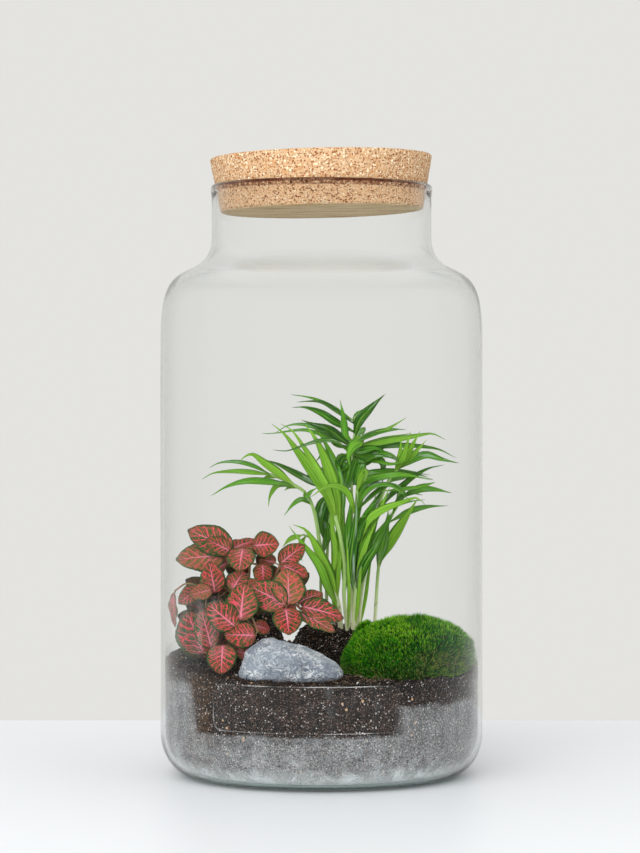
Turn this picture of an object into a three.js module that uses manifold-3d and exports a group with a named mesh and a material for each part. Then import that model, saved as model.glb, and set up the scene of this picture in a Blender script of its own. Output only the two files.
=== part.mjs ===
// Glass plant terrarium: a wide-necked glass jar with a cork stopper, planted with a clump of parlour palm
// and a red-veined nerve plant (fittonia), with a stone and a cushion of moss on the soil.
// Millimetres, +Z up, origin at the middle of the jar's foot, front of the jar towards -Y.
import * as THREE from 'three';
import { mergeVertices } from 'three/addons/utils/BufferGeometryUtils.js';
import Module from 'manifold-3d';

const wasm = await Module();
wasm.setup();

// Jar
const SIDES = 40;                 // flats round everything turned
const BODY_RADIUS = 90;
const WALL = 2.2;
const FOOT_RADIUS = 71;           // the flat ring and disc that the jar stands on
const HEEL_HEIGHT = 24;           // where the rounded heel meets the straight wall
const FLOOR = 6;                  // thickness of the heavy glass base
const SHOULDER_START = 243;       // top of the straight wall
const NECK_START = 300;           // foot of the straight neck
const RIM_HEIGHT = 328.6;
const NECK_RADIUS = 61.45;
const NECK_BORE = 59.6;
const GAP = 0.3;                  // between pieces that touch on the real object

// Cork stopper
const CORK_TOP_RADIUS = 62.1;
const CORK_FOOT_RADIUS = 56.5;
const CORK_HEIGHT = 30;
const CORK_IN_NECK = 13.8;        // how deep it stands in the neck
const CORK_EDGE = 0.7;
const CORK_TILT = -1.2;           // degrees, its left side sits lower

// Clear label film, on the front of the glass
const FILM_INNER_RADIUS = BODY_RADIUS + GAP;
const FILM_THICKNESS = 0.35;
const FILM_FROM = -39.9;          // degrees round the jar from the front, to the left
const FILM_TO = 27.5;
const FILM_LOW = 32.7;
const FILM_HIGH = 57.9;
const FILM_CORNER = 6;

// Soil
const SOIL_LEVEL = 62;
const SOIL_RISE_TO_BACK = 0.05;   // height gained for each millimetre towards the back
const SOIL_DISH = 3;              // how much the soil climbs at the left and right glass
const SOIL_LEAN = 1;
const SOIL_RINGS = 8;
const CRUMB = 0.7;                // unevenness of the soil's surface
// Root balls that stand out of the soil: middle, flat top's radius, foot's radius, height above the soil
const ROOT_BALLS = [
  { x: -38, y: -12, top: 10, foot: 24, height: 30 },
  { x: 9, y: 15, top: 19, foot: 31, height: 17.5 },
];

// Stone
const STONE_MIDDLE = [-16.4, -60];
const STONE_HALF_LENGTH = 28;
const STONE_HALF_DEPTH = 16;
const STONE_WAIST = 62;           // height of its widest section
const STONE_SINK = 6;             // how far its underside lies below the waist
// Its upper outline, as height over the distance from its left end
const STONE_BACK = [[0, 63.5], [4, 74.5], [9.5, 79], [13, 81], [18.5, 81], [24, 78.8], [33, 76.6], [42, 73.4],
  [48.5, 70], [54, 66.2], [56, 63.2]];

// Moss
const MOSS_MIDDLE = [48.5, -28];
const MOSS_HALF_LENGTH = 37.5;
const MOSS_HALF_DEPTH = 38;
const MOSS_HEIGHT = 29;
const MOSS_SINK = 3;
const MOSS_REACH = 85.5;          // it is pressed flat against the glass at this radius
const MOSS_LUMP = 1.1;

// The plants are placed as they are seen from the front, from this far away and this high
const EYE_DISTANCE = 1529;
const EYE_HEIGHT = 207;

const BLADE_THICKNESS = 0.66;
const FOLDED_FROM = 5;            // blades this wide or wider are folded along their rib
const LEAF_THICKNESS = 0.7;
const PETIOLE = 0.6;              // half the width of a leaf's stalk
const HOLE_MARGIN = 0.5;          // how much wider the hole in the soil is than the stem in it
const GRID = 1 / 8192;            // spacing of the grid that every point lies on
const SPECK = 0.5;                // largest crumb, in cubic millimetres, that joining may leave behind
const ROOT_DEPTH = 6;             // how deep a stem stands in its hole

const COLOURS = {
  glass: { color: 0xd9e4df, roughness: 0.03, metalness: 0, transparent: true, opacity: 0.3 },
  cork: { color: 0xd9a878, roughness: 0.9, metalness: 0 },
  film: { color: 0xe8ecec, roughness: 0.2, metalness: 0, transparent: true, opacity: 0.3 },
  soil: { color: 0x3a322e, roughness: 1, metalness: 0 },
  stone: { color: 0x8f97a0, roughness: 0.85, metalness: 0 },
  moss: { color: 0x2f5316, roughness: 1, metalness: 0 },
  palm: { color: 0x4f9a2a, roughness: 0.5, metalness: 0 },
  fittonia: { color: 0xc84a4e, roughness: 0.6, metalness: 0 },
};

const part = new THREE.Group();

function addMesh(name, geometry, colour) {
  const mesh = new THREE.Mesh(geometry, new THREE.MeshStandardMaterial(COLOURS[colour]));
  mesh.name = name;
  part.add(mesh);
  return mesh;
}

// A smooth step from 0 at low to 1 at high
function ease(low, high, value) {
  return THREE.MathUtils.smoothstep(value, low, high);
}

// Height read off a row of [distance, height] points
function along(points, distance) {
  const last = points.length - 1;
  const next = points.findIndex((point) => point[0] >= distance);
  if (next <= 0) {
    return next === 0 ? points[0][1] : points[last][1];
  }
  const [fromAt, from] = points[next - 1];
  const [toAt, to] = points[next];
  return THREE.MathUtils.mapLinear(distance, fromAt, toAt, from, to);
}

// A repeatable unevenness between -1 and 1 that changes smoothly from place to place
function rough(x, y, z, size) {
  const a = Math.sin((x * 1.7 + y * 0.9 + z * 0.4) / size + 1.3);
  const b = Math.sin((y * 1.9 - x * 0.8 + z * 1.1) / size + 4.1);
  const c = Math.sin((z * 1.5 + x * 1.2 - y * 0.7) / size + 2.6);
  return (a + b + c) / 3;
}

// A closed mesh with its points on a fine grid and shared, without faces that have collapsed on the grid
// and without pairs of faces that lie back to back on the same three points
function closed(geometry) {
  const bare = new THREE.BufferGeometry();
  const snapped = Array.from(geometry.getAttribute('position').array, (value) => Math.round(value / GRID) * GRID);
  bare.setAttribute('position', new THREE.Float32BufferAttribute(snapped, 3));
  bare.setIndex(geometry.getIndex());
  const merged = mergeVertices(bare, GRID / 4);
  const corners = merged.getIndex().array;
  const faces = new Map();
  for (let i = 0; i < corners.length; i += 3) {
    const face = [corners[i], corners[i + 1], corners[i + 2]];
    const key = [...face].sort((a, b) => a - b).join();
    if (new Set(face).size < 3) {
      continue;
    }
    if (!faces.delete(key)) {
      faces.set(key, face);
    }
  }
  merged.setIndex([...faces.values()].flat());
  return merged;
}

function volume(geometry) {
  const place = geometry.getAttribute('position');
  const corners = geometry.getIndex().array;
  const [a, b, c] = [new THREE.Vector3(), new THREE.Vector3(), new THREE.Vector3()];
  let total = 0;
  for (let i = 0; i < corners.length; i += 3) {
    a.fromBufferAttribute(place, corners[i]);
    b.fromBufferAttribute(place, corners[i + 1]);
    c.fromBufferAttribute(place, corners[i + 2]);
    total += a.dot(b.cross(c)) / 6;
  }
  return total;
}

// The same closed mesh with its faces pointing out
function outward(geometry) {
  const skin = closed(geometry);
  if (volume(skin) < 0) {
    skin.setIndex(Array.from(skin.getIndex().array).reverse());
  }
  return skin;
}

function solid(geometry) {
  const skin = outward(geometry);
  return new wasm.Manifold(new wasm.Mesh({
    numProp: 3,
    vertProperties: new Float32Array(skin.getAttribute('position').array),
    triVerts: new Uint32Array(skin.getIndex().array),
  }));
}

function shape(manifold) {
  const mesh = manifold.getMesh();
  const geometry = new THREE.BufferGeometry();
  geometry.setAttribute('position', new THREE.BufferAttribute(mesh.vertProperties.slice(), 3));
  geometry.setIndex(Array.from(mesh.triVerts));
  return geometry;
}

// The largest piece of a mesh, without the specks and bubbles that joining can leave
function largestPiece(geometry) {
  const corners = Array.from(geometry.getIndex().array);
  const owner = Array.from({ length: geometry.getAttribute('position').count }, (_, i) => i);
  const chief = (i) => (owner[i] === i ? i : (owner[i] = chief(owner[i])));
  for (let i = 0; i < corners.length; i += 3) {
    owner[chief(corners[i])] = chief(corners[i + 1]);
    owner[chief(corners[i + 1])] = chief(corners[i + 2]);
  }
  const pieces = new Map();
  for (let i = 0; i < corners.length; i += 3) {
    const key = chief(corners[i]);
    pieces.set(key, [...(pieces.get(key) ?? []), corners[i], corners[i + 1], corners[i + 2]]);
  }
  const sizes = [...pieces.values()].map((piece) => {
    const alone = geometry.clone().setIndex(piece);
    return { alone, size: Math.abs(volume(alone)) };
  }).sort((a, b) => b.size - a.size);
  if (sizes.length > 1 && sizes[1].size > SPECK) {
    throw new Error(`a piece of ${sizes[1].size.toFixed(1)} mm3 isn't joined to the rest`);
  }
  return sizes[0].alone;
}

function fused(geometries) {
  const sum = geometries.map(solid).reduce((joined, next) => joined.add(next));
  return largestPiece(closed(shape(sum)));
}

// A closed skin over a row of rings. A ring runs out along its upper side and back along its lower side,
// and both sides are split into triangles alike.
function skinOver(rings) {
  const count = rings[0].length;
  const half = count / 2;
  const corners = [];
  for (let ring = 0; ring < rings.length - 1; ring += 1) {
    for (let j = 0; j < count; j += 1) {
      const k = (j + 1) % count;
      const [a, b] = [ring * count + j, ring * count + k];
      const [c, d] = [b + count, a + count];
      if (j < half) {
        corners.push(a, b, c, a, c, d);
      } else {
        corners.push(a, b, d, b, c, d);
      }
    }
  }
  const end = (rings.length - 1) * count;
  for (let j = 0; j < half - 1; j += 1) {
    const [a, b, c, d] = [j, j + 1, count - 2 - j, count - 1 - j];
    corners.push(a, c, b, a, d, c);
    corners.push(end + a, end + b, end + c, end + a, end + c, end + d);
  }
  const geometry = new THREE.BufferGeometry();
  const places = rings.flat().flatMap((point) => [point.x, point.y, point.z]);
  geometry.setAttribute('position', new THREE.Float32BufferAttribute(places, 3));
  geometry.setIndex(corners);
  return geometry;
}

// Turned pieces
function turned(profile) {
  const geometry = new THREE.LatheGeometry(profile.map(([r, z]) => new THREE.Vector2(r, z)), SIDES);
  return geometry.rotateX(Math.PI / 2);
}

// Quarter of an ellipse from the low point under its middle out to its side
function heel(middle, radius, height, low, steps) {
  const points = [];
  for (let i = 0; i <= steps; i += 1) {
    const angle = (i / steps) * (Math.PI / 2);
    points.push([middle + radius * Math.sin(angle), low + height * (1 - Math.cos(angle))]);
  }
  return points;
}

function bend(from, lead, trail, to, steps) {
  const curve = new THREE.CubicBezierCurve(...[from, lead, trail, to].map(([r, z]) => new THREE.Vector2(r, z)));
  return curve.getPoints(steps).map((point) => [point.x, point.y]);
}

const BORE = BODY_RADIUS - WALL;
const innerHeel = heel(68, BORE - 68, 21, FLOOR, 4);

function jar() {
  const outside = [
    [0, 0],
    ...heel(FOOT_RADIUS, BODY_RADIUS - FOOT_RADIUS, HEEL_HEIGHT, 0, 4),
    ...bend([BODY_RADIUS, SHOULDER_START], [BODY_RADIUS, 268], [86, 276], [77, 280.5], 4),
    ...bend([77, 280.5], [68, 285], [NECK_RADIUS, 288], [NECK_RADIUS, NECK_START], 3).slice(1),
  ];
  const rim = [
    [NECK_RADIUS, RIM_HEIGHT - 1],
    [NECK_RADIUS - 0.5, RIM_HEIGHT],
    [NECK_BORE + 0.5, RIM_HEIGHT],
    [NECK_BORE, RIM_HEIGHT - 1],
  ];
  const inside = [
    [0, FLOOR],
    ...innerHeel,
    ...bend([BORE, SHOULDER_START], [BORE, 266.5], [84, 274], [75.6, 278.2], 3),
    ...bend([75.6, 278.2], [66.5, 282.8], [NECK_BORE, 286], [NECK_BORE, NECK_START], 2).slice(1),
  ].reverse();
  return outward(turned([...outside, ...rim, ...inside]));
}

function corkStopper() {
  const profile = [
    [0, 0],
    [CORK_FOOT_RADIUS - CORK_EDGE, 0],
    [CORK_FOOT_RADIUS, CORK_EDGE],
    [CORK_TOP_RADIUS, CORK_HEIGHT - CORK_EDGE],
    [CORK_TOP_RADIUS - CORK_EDGE, CORK_HEIGHT],
    [0, CORK_HEIGHT],
  ];
  return outward(turned(profile.map(([r, z]) => [r, z - CORK_IN_NECK])));
}

// Clear film with rounded corners, wrapped round the front of the glass
function labelFilm() {
  const middle = ((FILM_FROM + FILM_TO) / 2) * THREE.MathUtils.DEG2RAD;
  const length = (FILM_TO - FILM_FROM) * THREE.MathUtils.DEG2RAD * FILM_INNER_RADIUS;
  const columns = 12;
  const rings = [];
  for (let i = 0; i <= columns; i += 1) {
    const across = (i / columns - 0.5) * length;
    const fromEnd = length / 2 - Math.abs(across);
    const cut = fromEnd < FILM_CORNER
      ? FILM_CORNER - Math.sqrt(FILM_CORNER ** 2 - (FILM_CORNER - fromEnd) ** 2)
      : 0;
    const angle = middle + across / FILM_INNER_RADIUS;
    const ring = [];
    for (const [radius, high] of [[0, 0], [0, 1], [1, 1], [1, 0]]) {
      const reach = FILM_INNER_RADIUS + radius * FILM_THICKNESS;
      const edge = Math.min(cut, FILM_CORNER - 0.5);
      const z = high ? FILM_HIGH - edge : FILM_LOW + edge;
      ring.push(new THREE.Vector3(reach * Math.sin(angle), -reach * Math.cos(angle), z));
    }
    rings.push(ring);
  }
  return outward(skinOver(rings));
}

// Height of the soil at a place, without its crumbs
function soilHeight(x, y) {
  const side = x / BORE;
  let height = SOIL_LEVEL + SOIL_RISE_TO_BACK * y + SOIL_DISH * side * side - SOIL_LEAN * side;
  for (const ball of ROOT_BALLS) {
    const away = Math.hypot(x - ball.x, y - ball.y);
    height += ball.height * (1 - ease(ball.top, ball.foot, away));
  }
  return height;
}

// Radius of the soil against the glass at a height
function soilRadius(z) {
  const wall = innerHeel.find((point, i) => i > 0 && point[1] >= z);
  if (!wall) {
    return BORE - GAP;
  }
  const before = innerHeel[innerHeel.indexOf(wall) - 1];
  return THREE.MathUtils.mapLinear(z, before[1], wall[1], before[0], wall[0]) - GAP;
}

// Soil: a flat foot, the heel's curve, a wall against the glass and an uneven top
function soilBlock() {
  const rings = [];
  const low = innerHeel.map(([r, z]) => [r - GAP, z + GAP]);
  const wallTop = 54;
  for (const [r, z] of [...low, [BORE - GAP, wallTop]]) {
    rings.push((angle) => new THREE.Vector3(r * Math.sin(angle), -r * Math.cos(angle), z));
  }
  for (let i = SOIL_RINGS; i > 0; i -= 1) {
    const r = ((BORE - GAP) * i) / SOIL_RINGS;
    rings.push((angle) => {
      const [x, y] = [r * Math.sin(angle), -r * Math.cos(angle)];
      return new THREE.Vector3(x, y, soilHeight(x, y) + CRUMB * rough(x, y, 0, 3.1));
    });
  }
  const places = [0, 0, FLOOR + GAP];
  for (const ring of rings) {
    for (let j = 0; j < SIDES; j += 1) {
      places.push(...ring((j / SIDES) * 2 * Math.PI).toArray());
    }
  }
  places.push(0, 0, soilHeight(0, 0));
  const top = places.length / 3 - 1;
  const corners = [];
  for (let j = 0; j < SIDES; j += 1) {
    const k = (j + 1) % SIDES;
    corners.push(0, 1 + k, 1 + j);
    for (let ring = 0; ring < rings.length - 1; ring += 1) {
      const [a, b] = [1 + ring * SIDES + j, 1 + ring * SIDES + k];
      corners.push(a, b, b + SIDES, a, b + SIDES, a + SIDES);
    }
    const last = 1 + (rings.length - 1) * SIDES;
    corners.push(last + j, last + k, top);
  }
  const geometry = new THREE.BufferGeometry();
  geometry.setAttribute('position', new THREE.Float32BufferAttribute(places, 3));
  geometry.setIndex(corners);
  return geometry;
}

// A ball of even triangles, each of its points moved by a rule
function shapedBall(detail, rule) {
  const ball = closed(new THREE.IcosahedronGeometry(1, detail));
  const place = ball.getAttribute('position');
  const point = new THREE.Vector3();
  for (let i = 0; i < place.count; i += 1) {
    rule(point.fromBufferAttribute(place, i));
    place.setXYZ(i, point.x, point.y, point.z);
  }
  return ball;
}

// The same ball-like body grown outwards all round by a margin
function grown(geometry, margin) {
  const copy = geometry.clone();
  copy.computeVertexNormals();
  const [place, normal] = [copy.getAttribute('position'), copy.getAttribute('normal')];
  for (let i = 0; i < place.count; i += 1) {
    place.setXYZ(
      i,
      place.getX(i) + margin * normal.getX(i),
      place.getY(i) + margin * normal.getY(i),
      place.getZ(i) + margin * normal.getZ(i),
    );
  }
  return copy;
}

// Pebble with a steep left end, its highest point on the left and a long back that falls to the right
function stone() {
  return shapedBall(3, (point) => {
    const section = Math.hypot(point.y, point.z);
    const [across, up] = section > 1e-6 ? [point.y / section, point.z / section] : [0, 0];
    const fullness = Math.pow(section, 0.62);
    const x = STONE_MIDDLE[0] + STONE_HALF_LENGTH * point.x;
    const back = along(STONE_BACK, x - STONE_MIDDLE[0] + STONE_HALF_LENGTH);
    const rise = up > 0 ? (back - STONE_WAIST) * up * Math.min(1, fullness * 1.6) : STONE_SINK * up * fullness;
    const y = STONE_MIDDLE[1] + STONE_HALF_DEPTH * fullness * across;
    const z = STONE_WAIST + rise;
    point.set(x, y + 0.9 * rough(x, y, z, 6), z + (up > 0 ? 0.5 * rough(y, z, x, 5) : 0));
  });
}

// Low cushion that follows the soil below and is pressed flat where it meets the glass
function mossCushion() {
  return shapedBall(4, (point) => {
    const [reachX, reachY] = [point.x * MOSS_HALF_LENGTH, point.y * MOSS_HALF_DEPTH];
    const out = new THREE.Vector2(MOSS_MIDDLE[0] + reachX, MOSS_MIDDLE[1] + reachY);
    if (out.length() > MOSS_REACH) {
      out.setLength(MOSS_REACH);
    }
    const ground = soilHeight(out.x, out.y) - 1;
    const up = point.z > 0 ? MOSS_HEIGHT * Math.pow(point.z, 0.9) : -MOSS_SINK * Math.sqrt(-point.z);
    const lump = point.z > 0 ? MOSS_LUMP * point.z * rough(out.x, out.y, up, 3.4) : 0;
    point.set(out.x, out.y, ground + up + lump);
  });
}

// A place inside the jar from where it is seen: across and up in the plane through the jar's axis, and its
// depth, which grows towards the back
function seen([across, up, depth]) {
  const scale = (EYE_DISTANCE + depth) / EYE_DISTANCE;
  return new THREE.Vector3(across * scale, depth, EYE_HEIGHT + (up - EYE_HEIGHT) * scale);
}

// How a leaf lies: its width direction and its upper face's direction, for a run and a turn about it.
// With no turn the leaf faces the front. Turned, its upper edge leans back and it faces up.
function lie(run, turn, before) {
  const front = new THREE.Vector3(0, -1, 0);
  const upright = new THREE.Vector3().crossVectors(front, run).normalize();
  if (before ? upright.dot(before) < 0 : upright.z < 0) {
    upright.negate();
  }
  const back = new THREE.Vector3().crossVectors(run, upright).normalize();
  if (back.y < 0) {
    back.negate();
  }
  const angle = turn * THREE.MathUtils.DEG2RAD;
  const side = upright.clone().multiplyScalar(Math.cos(angle)).addScaledVector(back, Math.sin(angle));
  const face = upright.clone().multiplyScalar(Math.sin(angle)).addScaledVector(back, -Math.cos(angle));
  return { upright, side, face };
}

// Round stem along a curve, thinner towards its end
function stemAlong(curve, thick, thin, steps, sides = 6) {
  const rings = [];
  let before = null;
  for (let i = 0; i <= steps; i += 1) {
    const t = i / steps;
    const middle = curve.getPointAt(t);
    const { upright, side } = lie(curve.getTangentAt(t), 90, before);
    before = upright;
    const radius = THREE.MathUtils.lerp(thick, thin, t);
    const ring = [];
    for (let j = 0; j < sides; j += 1) {
      const angle = ((j + 0.5) / sides) * 2 * Math.PI;
      ring.push(middle.clone()
        .addScaledVector(upright, radius * Math.cos(angle))
        .addScaledVector(side, radius * Math.sin(angle)));
    }
    rings.push(ring);
  }
  return skinOver(rings);
}

// Palm leaflet: a long blade folded a little along its rib, narrow at its foot and drawn to a fine tip
function blade(points, width, turn) {
  const curve = new THREE.CatmullRomCurve3(points, false, 'centripetal');
  const steps = Math.min(4, points.length + 1);
  const rings = [];
  let before = null;
  for (let i = 0; i <= steps; i += 1) {
    const t = i / steps;
    const middle = curve.getPointAt(t);
    const { upright, side, face } = lie(curve.getTangentAt(t), turn, before);
    before = upright;
    const half = (width / 2) * (0.28 + 0.72 * ease(0, 0.35, t)) * (1 - 0.9 * ease(0.45, 1, t));
    const rib = 0.22 * half;
    const thick = BLADE_THICKNESS / 2;
    const across = (share, drop, up) => middle.clone()
      .addScaledVector(side, share * half)
      .addScaledVector(face, up * thick - drop);
    const folds = width < FOLDED_FROM ? [[-1, 0], [1, 0]] : [[-1, 0], [0, rib], [1, 0]];
    rings.push([
      ...folds.map(([share, drop]) => across(share, drop, 1)),
      ...[...folds].reverse().map(([share, drop]) => across(share, drop, -1)),
    ]);
  }
  return skinOver(rings);
}

// Nerve plant leaf: an oval with a short point, dished along its midrib, with a waved edge and a drooping tip
function ovalLeaf(from, foot, tip, width, turn, wave) {
  const run = tip.clone().sub(foot);
  const length = run.length();
  run.normalize();
  const { side, face } = lie(run, turn, null);
  const steps = 5;
  const columns = [-1, 0, 1];
  const thick = LEAF_THICKNESS / 2;
  const stalk = (share, up) => from.clone()
    .addScaledVector(side, share * PETIOLE)
    .addScaledVector(face, up * thick);
  const rings = [[
    ...columns.map((share) => stalk(share, 1)),
    ...[...columns].reverse().map((share) => stalk(share, -1)),
  ]];
  // A leaf right at its stem has no stalk: its foot is the stalk's first section
  const start = foot.clone().sub(from).dot(run) < 1.5 ? 1 : 0;
  for (let i = start; i <= steps; i += 1) {
    const t = i / steps;
    const half = (width / 2) * Math.max(0.09, Math.pow(Math.sin(Math.PI * Math.pow(t * 0.985, 0.82)), 0.72));
    const place = (share, up) => {
      const edge = share * share;
      const dish = 0.16 * half * Math.abs(share) - 0.1 * half * edge;
      const ripple = wave * edge * Math.sin(t * 15 + share * 2);
      const droop = 0.13 * length * t * t;
      return foot.clone()
        .addScaledVector(run, length * (t - 0.04 * edge))
        .addScaledVector(side, share * half)
        .addScaledVector(face, dish + ripple - droop + 0.06 * length * t + up * thick);
    };
    rings.push([
      ...columns.map((share) => place(share, 1)),
      ...[...columns].reverse().map((share) => place(share, -1)),
    ]);
  }
  return skinOver(rings);
}

// A place inside a stem that is built in straight steps, on the side that faces the place aimed at
function onStem(curve, steps, share, aim, reach) {
  const at = Math.min(share, 0.985);
  const step = Math.min(Math.floor(at * steps), steps - 1);
  const [low, high] = [curve.getPointAt(step / steps), curve.getPointAt((step + 1) / steps)];
  const place = low.clone().lerp(high, at * steps - step);
  const run = high.clone().sub(low).normalize();
  const aside = aim.clone().sub(place);
  aside.addScaledVector(run, -aside.dot(run)).normalize();
  return place.addScaledVector(aside, reach);
}

// The curve of a stem that stands in the soil at [x, y] and then passes the places where it is seen
function rootedCurve([x, y], places) {
  const ground = soilHeight(x, y);
  const low = new THREE.Vector3(x, y, ground - ROOT_DEPTH);
  const collar = new THREE.Vector3(x, y, ground + 1.5);
  return new THREE.CatmullRomCurve3([low, collar, ...places.map(seen)], false, 'centripetal');
}

const holes = [];

// Hole in the soil for a stem's foot
function dig([x, y], radius) {
  const deep = ROOT_DEPTH + GAP + CRUMB;
  const height = deep + 8;
  const hole = new THREE.CylinderGeometry(radius + HOLE_MARGIN, radius + HOLE_MARGIN, height, 6);
  hole.rotateX(Math.PI / 2);
  hole.translate(x, y, soilHeight(x, y) - deep + height / 2);
  holes.push(hole);
}

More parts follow.
